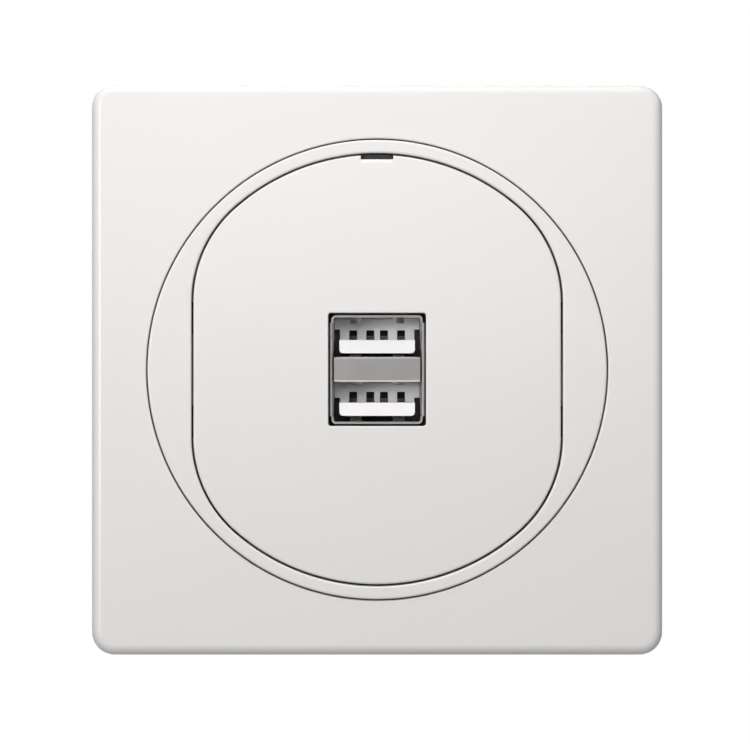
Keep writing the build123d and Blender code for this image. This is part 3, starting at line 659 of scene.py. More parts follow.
def ray_angles(outlines: Iterable[Outline], count: int = 360, per_corner: int = 10) -> list[float]:
    """Lists the directions in which a piece's rings get points: even ones, and more at bends.

    Args:
        outlines: Outlines whose bends count.
        count: Number of even directions.
        per_corner: Number of further directions at each bend.

    Returns:
        The angles in rising order.
    """
    angles = [2 * math.pi * i / count for i in range(count)]
    for outline in outlines:
        for middle, spread in outline.corners():
            shares = (2 * i / (per_corner - 1) - 1 for i in range(per_corner))
            angles += [middle + spread * share for share in shares]
    angles.sort()
    return [a for a, b in zip(angles, [*angles[1:], math.inf]) if b - a > CLOSEST_RAYS]


@dataclass(frozen=True)
class Station:
    """One ring of a piece: an outline, how far inside it the ring lies, and its place along Y."""

    outline: Outline
    inset: float
    y: float


def stations(outline: Outline, *places: Pair) -> list[Station]:
    """Returns rings of one outline, each by its inset and its place along Y."""
    return [Station(outline, *place) for place in places]


def rounding(outline: Outline, start: Pair, end: Pair, side: Side, steps: int = 6) -> list[Station]:
    """Lists the rings of a quarter-round edge.

    Args:
        outline: Outline that the edge follows.
        start: Inset and place along Y where the edge starts.
        end: The same where it ends.
        side: Which way it turns.
        steps: Number of facets.

    Returns:
        The rings, both ends included.
    """
    centre = (end[0], start[1]) if side is Side.WALL_TO_FACE else (start[0], end[1])
    rings = []
    for i in range(steps + 1):
        turn = QUARTER * i / steps
        inset, y = (
            middle + (a - middle) * math.cos(turn) + (b - middle) * math.sin(turn)
            for middle, a, b in zip(centre, start, end)
        )
        rings.append(Station(outline, inset, y))
    return rings


def add_object(name: str, data: bpy.types.ID) -> Piece:
    """Adds an object to the scene.

    Args:
        name: Name of the object.
        data: Its mesh, camera or light.

    Returns:
        The object, at the origin.
    """
    made = bpy.data.objects.new(name, data)
    bpy.context.scene.collection.objects.link(made)
    return made


def shade_edges(bm: bmesh.types.BMesh) -> None:
    """Points the faces outwards, shades them smooth and keeps only steep edges sharp.

    Args:
        bm: Mesh to work on.
    """
    bmesh.ops.recalc_face_normals(bm, faces=bm.faces)
    for face in bm.faces:
        face.smooth = True
    for edge in bm.edges:
        edge.smooth = edge.calc_face_angle(0.0) < SHARP_ANGLE


class Mesher:
    """Builds one mesh piece from rings and boxes, or from a node's mesh."""

    def __init__(self) -> None:
        """Starts an empty mesh."""
        self.bm = bmesh.new()

    def ring_body(
        self,
        rings: Sequence[Station],
        angles: Sequence[float],
        lift: Callable[[float, float], float] | None = None,
    ) -> None:
        """Adds a closed body of rings round the Y axis, the last joined to the first.

        Args:
            rings: The rings, in order round the section.
            angles: Directions in which each ring has points.
            lift: Adds to a point's place along Y, by its distance from the axis and that place.
        """
        rows = []
        for ring in rings:
            row = []
            for angle in angles:
                out = ring.outline.reach(angle, ring.inset)
                y = ring.y + (lift(out, ring.y) if lift else 0.0)
                row.append(self.bm.verts.new((out * math.cos(angle), y, out * math.sin(angle))))
            rows.append(row)
        for row, after in zip(rows, [*rows[1:], rows[0]]):
            for i in range(len(angles)):
                j = (i + 1) % len(angles)
                self.bm.faces.new((row[i], row[j], after[j], after[i]))

    def box(self, x: Pair, y: Pair, z: Pair) -> None:
        """Adds a box.

        Args:
            x: Its limits across.
            y: Its limits along Y.
            z: Its limits up.
        """
        corners = [(a, b, c) for a in sorted(x) for b in sorted(y) for c in sorted(z)]
        verts = [self.bm.verts.new(p) for p in corners]
        upright = ((0, 1, 3, 2), (4, 6, 7, 5), (0, 4, 5, 1), (2, 3, 7, 6))
        for quad in (*upright, (0, 2, 6, 4), (1, 5, 7, 3)):
            self.bm.faces.new([verts[i] for i in quad])

    def copy_of(self, node: str, near: float = 0.002 * MM, flat_angle: float = 0.002) -> None:
        """Adds a merged copy of a node's mesh, with its flat faces in one piece.

        Args:
            node: Name of the node.
            near: Points closer than this become one.
            flat_angle: Faces that turn by less than this, in radians, become one.
        """
        bm = self.bm
        bm.from_mesh(frame["nodes"][node].data)
        bmesh.ops.remove_doubles(bm, verts=bm.verts, dist=near)
        bmesh.ops.dissolve_limit(bm, angle_limit=flat_angle, verts=bm.verts, edges=bm.edges)

    def piece(self, name: str, finish: Finish) -> Piece:
        """Turns the mesh into a finished object.

        Args:
            name: Name of the piece.
            finish: Finish that it gets.

        Returns:
            The object, linked to the scene.
        """
        shade_edges(self.bm)
        mesh = bpy.data.meshes.new(name)
        self.bm.to_mesh(mesh)
        self.bm.free()
        made = add_object(name, mesh)
        made.data.materials.append(finish.material())
        return made


def settle(piece: Piece, body: Body, finish: Finish, *nodes: str) -> Piece:
    """Makes a piece ride on its body and stand for its nodes.

    Args:
        piece: The finished piece.
        body: Body that it rides on.
        finish: Finish of the piece; not used.
        nodes: Nodes that it replaces.

    Returns:
        The same piece.
    """
    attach(piece, body.value)
    if nodes:
        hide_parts(*nodes)
    LOG.info("%s: %d faces on %s", piece.name, len(piece.data.polygons), body.value)
    return piece


def bake_modifiers(piece: Piece) -> None:
    """Replaces a piece's mesh by the result of its modifiers and removes them.

    Args:
        piece: The piece.
    """
    graph = bpy.context.evaluated_depsgraph_get()
    mesh = bpy.data.meshes.new_from_object(piece.evaluated_get(graph), depsgraph=graph)
    piece.modifiers.clear()
    piece.data = mesh


def polyline(name: str, points: Sequence[Point]) -> bpy.types.Mesh:
    """Makes the path that a tree follows.

    Args:
        name: Name of the mesh.
        points: Its points in order.

    Returns:
        A mesh of edges only.
    """
    mesh = bpy.data.meshes.new(name)
    mesh.from_pydata(points, [(i, i + 1) for i in range(len(points) - 1)], [])
    return mesh


class Recipe:
    """A geometry node tree that grows one piece from named sizes."""

    COIL_STEPS = 28
    NEAR = 0.0001 * MM

    def __init__(self, name: str, sizes: dict[str, float]) -> None:
        """Sets up the tree and its inputs.

        Args:
            name: Name of the tree and of the piece.
            sizes: Value of each size.
        """
        self.name = name
        self.sizes = sizes
        tree = bpy.data.node_groups.new(name, "GeometryNodeTree")
        self.graph = Graph(tree)
        tree.interface.new_socket("Geometry", in_out="OUTPUT", socket_type="NodeSocketGeometry")
        kinds = {"Path": "NodeSocketGeometry", "Material": "NodeSocketMaterial"}
        kinds |= dict.fromkeys(sizes, "NodeSocketFloat")
        self.keys = {
            key: tree.interface.new_socket(key, in_out="INPUT", socket_type=kind).identifier
            for key, kind in kinds.items()
        }
        self.inputs = [self.given(key) for key in sizes]

    def given(self, key: str) -> Value:
        """Returns one of the tree's inputs."""
        return self.graph.node("NodeGroupInput", output=key)

    def vector(self, x: Value | float, y: Value | float, z: Value | float) -> Value:
        """Returns a vector of three numbers."""
        return self.graph.node("ShaderNodeCombineXYZ", {}, {0: x, 1: y, 2: z})

    def moved(self, shape: Value, by: Value | Point, turn: Value | Point = ZERO) -> Value:
        """Returns the shape turned and then moved."""
        inputs = {"Geometry": shape, "Translation": by, "Rotation": turn}
        return self.graph.node("GeometryNodeTransform", {}, inputs)

    def box(self, size: Value, centre: Value) -> Value:
        """Returns a box of this size about this centre."""
        return self.moved(self.graph.node("GeometryNodeMeshCube", {}, {"Size": size}), centre)

    def drum(self, sides: int, radius: Value, height: Value) -> Value:
        """Returns an upright cylinder about the origin."""
        inputs = {"Vertices": sides, "Radius": radius, "Depth": height}
        return self.graph.node("GeometryNodeMeshCylinder", {}, inputs)

    def carve(self, operation: str, inputs: dict[str, object]) -> Value:
        """Returns shapes united, or one cut by others."""
        settings = {"operation": operation, "solver": "EXACT"}
        return self.graph.node("GeometryNodeMeshBoolean", settings, inputs)

    def four_corners(self, x: Value, z: Value) -> Value:
        """Lays out four points.

        Args:
            x: How far they lie from the middle across.
            z: How far they lie from the middle up.

        Returns:
            The points at plus and minus x and z.
        """
        grid = {"Size X": x * 2.0, "Size Y": z * 2.0, "Vertices X": 2, "Vertices Y": 2}
        flat = self.graph.node("GeometryNodeMeshGrid", {}, grid)
        return self.moved(flat, ZERO, (QUARTER, 0.0, 0.0))

    def row(self, count: int, start: Value | Point = ZERO, step: Value | Point = ZERO) -> Value:
        """Returns evenly spaced points."""
        line = {"Count": count, "Start Location": start, "Offset": step}
        return self.graph.node("GeometryNodeMeshLine", {"mode": "OFFSET"}, line)

    def repeat(self, shape: Value, points: Value, turn: Value | Point = ZERO) -> Value:
        """Returns copies of the shape at the points."""
        inputs = {"Points": points, "Instance": shape, "Rotation": turn}
        return self.graph.node("GeometryNodeInstanceOnPoints", {}, inputs)

    def join(self, *shapes: Value) -> Value:
        """Returns the shapes as one geometry."""
        return self.graph.node("GeometryNodeJoinGeometry", {}, {"Geometry": list(shapes)})

    def path(self) -> Value:
        """Returns the curve along the path that the tree starts from."""
        return self.graph.node("GeometryNodeMeshToCurve", {}, {"Mesh": self.given("Path")})

    def oblong(self, width: Value, height: Value) -> Value:
        """Returns the outline of a rectangle."""
        settings, inputs = {"mode": "RECTANGLE"}, {"Width": width, "Height": height}
        return self.graph.node("GeometryNodeCurvePrimitiveQuadrilateral", settings, inputs)

    def circle(self, steps: int, radius: Value) -> Value:
        """Returns the outline of a circle."""
        inputs = {"Resolution": steps, "Radius": radius}
        return self.graph.node("GeometryNodeCurvePrimitiveCircle", {}, inputs)

    def sweep(self, path: Value, profile: Value) -> Value:
        """Returns the closed body that a profile leaves along a path."""
        inputs = {"Curve": path, "Profile Curve": profile, "Fill Caps": True}
        return self.graph.node("GeometryNodeCurveToMesh", {}, inputs)

    def coil(self, turns: Value, radius: Value, height: Value, wire: Value, sides: int) -> Value:
        """Winds a wire evenly up the Z axis.

        Args:
            turns: Number of turns.
            radius: Radius of the wire's middle line.
            height: Height of the winding.
            wire: Radius of the wire.
            sides: Number of the wire's sides.

        Returns:
            The wire.
        """
        spiral = {"Resolution": self.COIL_STEPS, "Rotations": turns, "Height": height}
        spiral |= {"Start Radius": radius, "End Radius": radius}
        path = self.graph.node("GeometryNodeCurveSpiral", {}, spiral)
        return self.sweep(path, self.circle(sides, wire))

    def grow(self, shape: Value, finish: Finish, path: bpy.types.Mesh | None = None) -> Piece:
        """Ends the tree and turns its result into a plain object.

        Args:
            shape: What the tree has made.
            finish: Finish of the piece.
            path: Mesh that the tree starts from, if it follows one.

        Returns:
            The object, linked to the scene, with no modifier left.
        """
        real = self.graph.node("GeometryNodeRealizeInstances", {}, {"Geometry": shape})
        coated = {"Geometry": real, "Material": self.given("Material")}
        dressed = self.graph.node("GeometryNodeSetMaterial", {}, coated)
        self.graph.node("NodeGroupOutput", {}, {0: dressed})
        made = add_object(self.name, path or bpy.data.meshes.new(self.name))
        modifier = made.modifiers.new("recipe", "NODES")
        modifier.node_group = self.graph.tree
        for key, entry in {**self.sizes, "Material": finish.material()}.items():
            modifier[self.keys[key]] = entry
        bake_modifiers(made)
        bm = bmesh.new()
        bm.from_mesh(made.data)
        bmesh.ops.remove_doubles(bm, verts=bm.verts, dist=self.NEAR)
        shade_edges(bm)
        bm.to_mesh(made.data)
        bm.free()
        return made


@dataclass(frozen=True)
class Grown:
    """What the pieces grown by geometry nodes share: their sizes become the tree's inputs."""

    def recipe(self, name: str, *chosen: str, **worked_out: float) -> Recipe:
        """Starts the tree of a piece.

        Args:
            name: Name of the piece.
            chosen: Fields that become inputs, or none for all.
            worked_out: Further inputs.

        Returns:
            The recipe, whose inputs come in this order.
        """
        sizes = asdict(self)
        return Recipe(name, {key: sizes[key] for key in chosen or sizes} | worked_out)


@dataclass(frozen=True)
class Blades(Grown):
    """Four flat push-fit blades with bevelled tips, at plus and minus x and z."""

    x: float
    z: float
    width: float
    back: float
    tip: float = -1.3 * MM
    thickness: float = 1.2 * MM
    bevel: float = 0.4 * MM

    def build(self, name: str, body: Body) -> Piece:
        """Builds the blades as one piece.

        Args:
            name: Name of the piece.
            body: Body that it rides on.

        Returns:
            The piece.
        """
        recipe = self.recipe(name)
        graph, vector = recipe.graph, recipe.vector
        x, z, width, back, tip, thickness, bevel = recipe.inputs
        shoulder = tip - bevel
        centre = vector(0.0, (shoulder + back) * 0.5, 0.0)
        box = recipe.box(vector(thickness, shoulder - back, width), centre)
        at_tip = graph.axes(graph.node("GeometryNodeInputNormal"))[1].above(0.5)
        extrude = {"Mesh": box, "Selection": at_tip, "Offset Scale": bevel}
        longer = graph.node("GeometryNodeExtrudeMesh", {"mode": "FACES"}, extrude)
        top = Value(graph, longer.socket.node.outputs["Top"])
        narrow = (thickness - bevel * 2.0) / thickness
        scale = {"Geometry": longer, "Selection": top, "Scale": narrow}
        tapered = graph.node("GeometryNodeScaleElements", {"domain": "FACE"}, scale)
        placed = recipe.repeat(tapered, recipe.four_corners(x, z))
        return settle(recipe.grow(placed, WHITE), body, WHITE)


@dataclass(frozen=True)
class Ribs(Grown):
    """Eight ribs between the plate's collar and its walls."""

    start: float
    end: float
    offset: float
    back: float
    front: float
    thickness: float

    def build(self) -> Piece:
        """Builds the ribs as one piece, a pair on each of the four sides.

        Returns:
            The piece.
        """
        recipe = self.recipe("plate_ribs")
        vector = recipe.vector
        start, end, offset, back, front, thickness = recipe.inputs
        centre = vector((end + start) * 0.5, (back + front) * 0.5, 0.0)
        rib = recipe.box(vector(end - start, back - front, thickness), centre)
        low, step = (vector(0.0, 0.0, offset * share) for share in (-1.0, 2.0))
        pair = recipe.repeat(rib, recipe.row(2, low, step))
        turn = vector(0.0, recipe.graph.node("GeometryNodeInputIndex") * QUARTER, 0.0)
        around = recipe.repeat(pair, recipe.row(4), turn)
        return settle(recipe.grow(around, WHITE), Body.PLATE, WHITE)


@dataclass(frozen=True)
class Screws(Grown):
    """Four cross-head screws with threads, at plus and minus x and z, that lie along Y."""

    spread: float
    seat: float
    head_r: float
    head_h: float
    shank_r: float
    length: float
    facing: float
    pitch: float = 0.7 * MM
    recess_w: float = 0.7 * MM
    recess_depth: float = 0.8 * MM
    recess_share: float = 0.62
    crown_share: float = 0.35
    crown_r_share: float = 0.82
    core_share: float = 0.85

    def build(self, name: str, nodes: Sequence[str]) -> Piece:
        """Builds the screws as one piece that stands for their nodes.

        Args:
            name: Name of the piece.
            nodes: The nodes.

        Returns:
            The piece.
        """
        recipe = self.recipe(name)
        vector, moved = recipe.vector, recipe.moved
        spread, seat, head_r, head_h, shank_r, length, facing, pitch, *details = recipe.inputs
        recess_w, recess_depth, recess_share, crown_share, crown_r_share, core_share = details
        rim = head_h * (1.0 - crown_share)
        disc = moved(recipe.drum(40, head_r, rim), vector(0.0, 0.0, rim * 0.5))
        cone = {"Vertices": 40, "Radius Top": head_r * crown_r_share, "Radius Bottom": head_r}
        cone["Depth"] = head_h * crown_share
        crown = moved(recipe.graph.node("GeometryNodeMeshCone", {}, cone), vector(0.0, 0.0, rim))
        head = recipe.carve("UNION", {"Mesh 2": [disc, crown]})
        arm, deep = head_r * recess_share * 2.0, recess_depth * 2.0
        arm_sizes = (vector(arm, recess_w, deep), vector(recess_w, arm, deep))
        arms = [recipe.box(size, vector(0.0, 0.0, head_h)) for size in arm_sizes]
        cut = recipe.carve("DIFFERENCE", {"Mesh 1": head, "Mesh 2": arms})
        core_r = shank_r * core_share
        shank = moved(recipe.drum(24, core_r, length), vector(0.0, 0.0, length * -0.5))
        height = length - pitch * 1.5
        thread = recipe.coil(height / pitch, core_r, height, shank_r * (1.0 - core_share), 4)
        thread = moved(thread, vector(0.0, 0.0, pitch * 0.5 - length))
        points = recipe.four_corners(spread, spread)
        turn = vector(facing * QUARTER, 0.0, 0.0)
        standing = recipe.repeat(recipe.join(cut, shank, thread), points, turn)
        placed = moved(standing, vector(0.0, seat, 0.0))
        return settle(recipe.grow(placed, SCREW_STEEL), Body.MECHANISM, SCREW_STEEL, *nodes)


@dataclass(frozen=True)
class Contacts(Grown):
    """The four spring contacts of one port, swept along their bent path."""

    tongue_top: float
    front: float = -8.0 * MM
    tail: float = 7.2 * MM
    bow: float = 2.6 * MM
    tip: float = 0.9 * MM
    lift: float = 0.2 * MM
    rise: float = 0.5 * MM
    dip: float = 0.1 * MM
    width: float = 0.95 * MM
    thickness: float = 0.25 * MM
    outer_pitch: float = 2.5 * MM
    inner_pitch: float = 2.0 * MM
    bend: float = 0.35 * MM

    def path(self) -> bpy.types.Mesh:
        """Draws the path of a contact at x = 0.

        Returns:
            The path, from the tail behind the board to the tip.
        """
        front = self.front
        bends = (
            (self.tail, self.lift),
            (front + TONGUE_LENGTH, self.lift),
            (front + self.bow, self.rise),
            (front + self.tip, -self.dip),
        )
        return polyline("contact_path", [(0.0, y, self.tongue_top + z) for y, z in bends])

    def build(self, name: str, nodes: Sequence[str]) -> Piece:
        """Builds the contacts as one piece that stands for their nodes.

        Args:
            name: Name of the piece.
            nodes: The nodes.

        Returns:
            The piece.
        """
        recipe = self.recipe(name, "width", "thickness", "bend", "outer_pitch", "inner_pitch")
        node = recipe.graph.node
        width, thickness, bend, outer_pitch, inner_pitch = recipe.inputs
        fillet = {"Curve": recipe.path(), "Radius": bend, "Count": 6}
        rounded = node("GeometryNodeFilletCurve", {"mode": "POLY"}, fillet)
        strip = recipe.sweep(rounded, recipe.oblong(width, thickness))
        step = node("GeometryNodeInputIndex") - 1.5
        gap = (inner_pitch - outer_pitch) * 0.5
        place = recipe.vector(step * outer_pitch + step.math("SIGN") * gap, 0.0, 0.0)
        inputs = {"Geometry": recipe.row(4), "Position": place}
        points = node("GeometryNodeSetPosition", {}, inputs)
        made = recipe.grow(recipe.repeat(strip, points), GOLD, self.path())
        return settle(made, Body.MECHANISM, GOLD, *nodes)


@dataclass(frozen=True)
class Pins(Grown):
    """A row of square pins with tapered ends, over the node that gives its size."""

    node: str
    count: int = 5
    tip: float = 0.35 * MM
    taper: float = 0.5

    def build(self) -> Piece:
        """Builds the pins as one piece that stands for their node.

        Returns:
            The piece.
        """
        low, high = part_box(self.node)
        width = high[2] - low[2]
        ends = (low[1], low[1] + self.tip, high[1] - self.tip, high[1])
        recipe = self.recipe(
            f"{self.node}_row",
            "taper",
            width=width,
            pitch=(high[0] - low[0] - width) / (self.count - 1),
            start_x=low[0] + width / 2,
            centre_z=(low[2] + high[2]) / 2,
        )
        taper, width, pitch, start_x, centre_z = recipe.inputs
        selected = recipe.graph.node("GeometryNodeCurveEndpointSelection")
        inputs = {"Curve": recipe.path(), "Selection": selected, "Radius": taper}
        shaped = recipe.graph.node("GeometryNodeSetCurveRadius", {}, inputs)
        pin = recipe.sweep(shaped, recipe.oblong(width, width))
        start, step = recipe.vector(start_x, 0.0, centre_z), recipe.vector(pitch, 0.0, 0.0)
        path = polyline("pin_path", [(0.0, y, 0.0) for y in ends])
        made = recipe.grow(recipe.repeat(pin, recipe.row(self.count, start, step)), GOLD, path)
        return settle(made, Body.MECHANISM, GOLD, self.node)


@dataclass(frozen=True)
class Turns(Grown):
    """A winding: its outer layer wire by wire, over the layers below it."""

    node: str
    bore_r: float
    wire_r: float = 0.16 * MM

    def build(self) -> Piece:
        """Builds the winding round its node's Y axis as one piece that stands for the node.

        Returns:
            The piece.
        """
        low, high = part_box(self.node)
        recipe = self.recipe(
            f"{self.node}_turns",
            "bore_r",
            "wire_r",
            radius=(high[0] - low[0]) / 2 - self.wire_r,
            length=high[1] - low[1] - 2 * self.wire_r,
            centre_x=(low[0] + high[0]) / 2,
            start_y=low[1] + self.wire_r,
            centre_z=(low[2] + high[2]) / 2,
        )
        bore_r, wire_r, radius, length, centre_x, start_y, centre_z = recipe.inputs
        wire = recipe.coil(length / (wire_r * 2.0), radius, length, wire_r, 6)
        hoop = recipe.circle(48, (radius + bore_r) * 0.5)
        layers = recipe.sweep(hoop, recipe.oblong(radius - bore_r, length))
        layers = recipe.moved(layers, recipe.vector(0.0, 0.0, length * 0.5))
        start = recipe.vector(centre_x, start_y, centre_z)
        placed = recipe.moved(recipe.join(wire, layers), start, (-QUARTER, 0.0, 0.0))
        return settle(recipe.grow(placed, COPPER), Body.MECHANISM, COPPER, self.node)


@dataclass(frozen=True)
class FrontParts:
    """The finishing plate, the trim ring and the centre cover."""

    plate_half: float = 41.0 * MM
    plate_corner: float = 3.3 * MM
    plate_edge: float = 1.5 * MM
    plate_edge_steps: int = 10
    plate_front: float = -9.0 * MM
    plate_wall: float = 1.8 * MM
    plate_face: float = 2.2 * MM
    opening_r: float = 33.15 * MM
    opening_edge: float = 0.25 * MM
    opening_margin: float = 2.0 * MM
    collar_wall: float = 1.5 * MM
    collar_back: float = -4.0 * MM
    ring_r: float = 32.93 * MM
    ring_front: float = -9.3 * MM
    ring_back: float = -3.6 * MM
    ring_face: float = 2.4 * MM
    ring_wall: float = 1.2 * MM
    ring_edge: float = 0.3 * MM
    cover_gap: float = 0.3 * MM
    cover_r: float = 30.77 * MM
    cover_half_w: float = 26.34 * MM
    cover_blend: float = 17.8 * MM
    cover_front: float = -9.4 * MM
    cover_back: float = -5.5 * MM
    cover_crown: float = 0.4 * MM
    cover_face: float = 2.0 * MM
    cover_wall: float = 1.2 * MM
    cover_edge: float = 0.3 * MM
    cover_rings: int = 15
    cover_ring_step: float = 1.0 * MM
    window: RoundedBox = RoundedBox(7.0 * MM, 8.1 * MM, 0.4 * MM)
    window_edge: float = 0.15 * MM
    window_rings: Point = (2.0 * MM, 1.0 * MM, 0.4 * MM)
    window_collar: float = 1.0 * MM
    window_collar_depth: float = 0.5 * MM
    notch_w: float = 4.65 * MM
    notch_depth: float = 0.65 * MM
    rear_edge: float = 0.15 * MM
    guard: float = 0.08 * MM
    overcut: float = 2.0 * MM

    def plate(self) -> Piece:
        """Builds the square plate: walls, rounded front edge, round opening with its collar.

        Returns:
            The piece.
        """
        square = RoundedBox(self.plate_half, self.plate_half, self.plate_corner)
        hole, collar = Circle(self.opening_r), Circle(self.opening_r + self.collar_wall)
        front, edge, steps = self.plate_front, self.plate_edge, self.plate_edge_steps
        lip, rim, guard, wall = self.opening_edge, self.rear_edge, self.guard, self.plate_wall
        under = front + self.plate_face
        rings = [
            *stations(square, (0.0, -rim - guard), (0.0, front + edge + guard)),
            *rounding(square, (0.0, front + edge), (edge, front), Side.WALL_TO_FACE, steps),
            *stations(square, (edge + guard, front), (2 * edge, front)),
            *stations(hole, (-self.opening_margin, front), (-lip - guard, front)),
            *rounding(hole, (-lip, front), (0.0, front + lip), Side.FACE_TO_WALL),
            *stations(hole, (0.0, front + lip + guard), (0.0, self.collar_back)),
            *stations(collar, (0.0, self.collar_back), (0.0, under)),
            *stations(square, (wall, under), (wall, -rim)),
            *stations(square, (wall - rim, 0.0), (rim, 0.0), (0.0, -rim)),
        ]
        mesher = Mesher()
        mesher.ring_body(rings, ray_angles([square]))
        return settle(mesher.piece("plate_moulding", WHITE), Body.PLATE, WHITE, "finishing_plate")

    def ring(self) -> Piece:
        """Builds the trim ring between the plate's opening and the cover.

        Returns:
            The piece.
        """
        outer, gap = Circle(self.ring_r), self.cover_gap
        hole = FlattedCircle(self.cover_r + gap, self.cover_half_w + gap, self.cover_blend + gap)
        front, edge, guard, wall = self.ring_front, self.ring_edge, self.guard, self.ring_wall
        under = front + self.ring_face
        rings = [
            *stations(outer, (0.0, self.ring_back), (0.0, front + edge + guard)),
            *rounding(outer, (0.0, front + edge), (edge, front), Side.WALL_TO_FACE),
            *stations(outer, (edge + guard, front)),
            *stations(hole, (-edge - guard, front)),
            *rounding(hole, (-edge, front), (0.0, front + edge), Side.FACE_TO_WALL),
            *stations(hole, (0.0, front + edge + guard), (0.0, under)),
            *stations(outer, (wall, under), (wall, self.ring_back)),
        ]
        mesher = Mesher()
        mesher.ring_body(rings, ray_angles([]))
        return settle(mesher.piece("ring_moulding", WHITE), Body.RING, WHITE, "trim_ring")

    def dome(self, out: float, y: float) -> float:
        """Finds how far the domed front stands out.

        Args:
            out: Distance from the axis.
            y: Place along Y on the flat form.

        Returns:
            What is added to y: all of it on the front, nothing halfway through the face.
        """
        half_face = self.cover_face / 2
        share = min(max((half_face + self.cover_front - y) / half_face, 0.0), 1.0)
        return -self.cover_crown * (1.0 - (out / self.cover_r) ** 2) * share

    def cover(self) -> Piece:
        """Builds the domed cover with its window and the notch for prising it off.

        Returns:
            The piece.
        """
        rim, hole = FlattedCircle(self.cover_r, self.cover_half_w, self.cover_blend), self.window
        widening, wall, back = self.window_collar, self.cover_wall, self.cover_back
        collar = RoundedBox(hole.half_w + widening, hole.half_h + widening, widening)
        front, edge, lip, guard = self.cover_front, self.cover_edge, self.window_edge, self.guard
        under = front + self.cover_face
        collar_back = under + self.window_collar_depth
        dome_insets = [edge + i * self.cover_ring_step for i in range(1, self.cover_rings + 1)]
        rings = [
            *stations(rim, (0.0, back), (0.0, front + edge + guard)),
            *rounding(rim, (0.0, front + edge), (edge, front), Side.WALL_TO_FACE),
            *stations(rim, (edge + guard, front), *((inset, front) for inset in dome_insets)),
            *stations(hole, *((-inset, front) for inset in self.window_rings)),
            *stations(hole, (-lip - guard, front)),
            *rounding(hole, (-lip, front), (0.0, front + lip), Side.FACE_TO_WALL),
            *stations(hole, (0.0, under), (0.0, collar_back)),
            *stations(collar, (0.0, collar_back), (0.0, under)),
            *stations(rim, (wall, under), (wall, back)),
        ]
        mesher = Mesher()
        mesher.ring_body(rings, ray_angles([hole, collar]), self.dome)
        made = mesher.piece("cover_moulding", WHITE)
        self.cut_notch(made)
        return settle(made, Body.COVER, WHITE, "centre_cover")

    def cut_notch(self, cover: Piece) -> None:
        """Cuts the notch out of the cover's top edge.

        Args:
            cover: The cover.
        """
        cutter = Mesher()
        low = self.cover_r - self.notch_depth
        reach = (self.cover_front - self.overcut, self.cover_back + self.overcut)
        cutter.box((-self.notch_w / 2, self.notch_w / 2), reach, (low, self.cover_r + self.overcut))
        tool = cutter.piece("notch_cutter", WHITE)
        modifier = cover.modifiers.new("notch", "BOOLEAN")
        modifier.object = tool
        modifier.solver = "EXACT"
        bake_modifiers(cover)
        bpy.data.objects.remove(tool)


@dataclass
class RefinedParts:
    """Nodes whose form is right: each gets a copy with softened edges, or keeps its mesh."""

    soften: dict[str, tuple[Finish, float]]
    kept: dict[str, Finish] = field(default_factory=dict)
    segments: int = 2
    angle: float = math.radians(35.0)

    def soften_all(self) -> None:
        """Builds the copies with softened edges."""
        for node, (finish, width) in self.soften.items():
            mesher = Mesher()
            mesher.copy_of(node)
            made = mesher.piece(f"{node}_piece", finish)
            bevel = made.modifiers.new("edges", "BEVEL")
            bevel.width = width
            bevel.segments = self.segments
            bevel.limit_method = "ANGLE"
            bevel.angle_limit = self.angle
            bevel.harden_normals = True
            bevel.use_clamp_overlap = True
            bake_modifiers(made)
            settle(made, Body.MECHANISM, finish, node)

    def dress_kept(self) -> None:
        """Gives the nodes that keep their mesh their finish."""
        for node, finish in self.kept.items():
            shown = frame["nodes"][node]
            shown.data.materials.clear()
            shown.data.materials.append(finish.material())


@dataclass(frozen=True)
class Lamp:
    """An oblong soft light, its power in watts."""

    name: str
    place: Point
    size: Pair
    power: float
    in_gloss: bool = True

    def hang(self, target: Point) -> None:
        """Hangs the light where the camera doesn't see it.

        Args:
            target: Point that it faces.
        """
        light = bpy.data.lights.new(self.name, "AREA")
        light.shape = "RECTANGLE"
        light.size, light.size_y = self.size
        light.energy = self.power
        made = add_object(self.name, light)
        made.location = self.place
        towards = Vector(target) - Vector(self.place)
        made.rotation_euler = towards.to_track_quat("-Z", "Y").to_euler()
        made.visible_camera = False
        made.visible_glossy = self.in_gloss


LAMPS = (
    Lamp("side", (-0.25, -0.44, 0.05), (0.11, 0.22), 0.66),
    Lamp("key", (-0.03, -0.15, 0.28), (0.3, 0.14), 0.66, in_gloss=False),
    Lamp("front", (0.0, -0.36, 0.07), (0.18, 0.12), 0.515, in_gloss=False),
    Lamp("rear", (0.05, 0.55, 0.28), (0.5, 0.3), 1.8),
)
LIGHT = (1.0, 1.0, 1.0, 1.0)


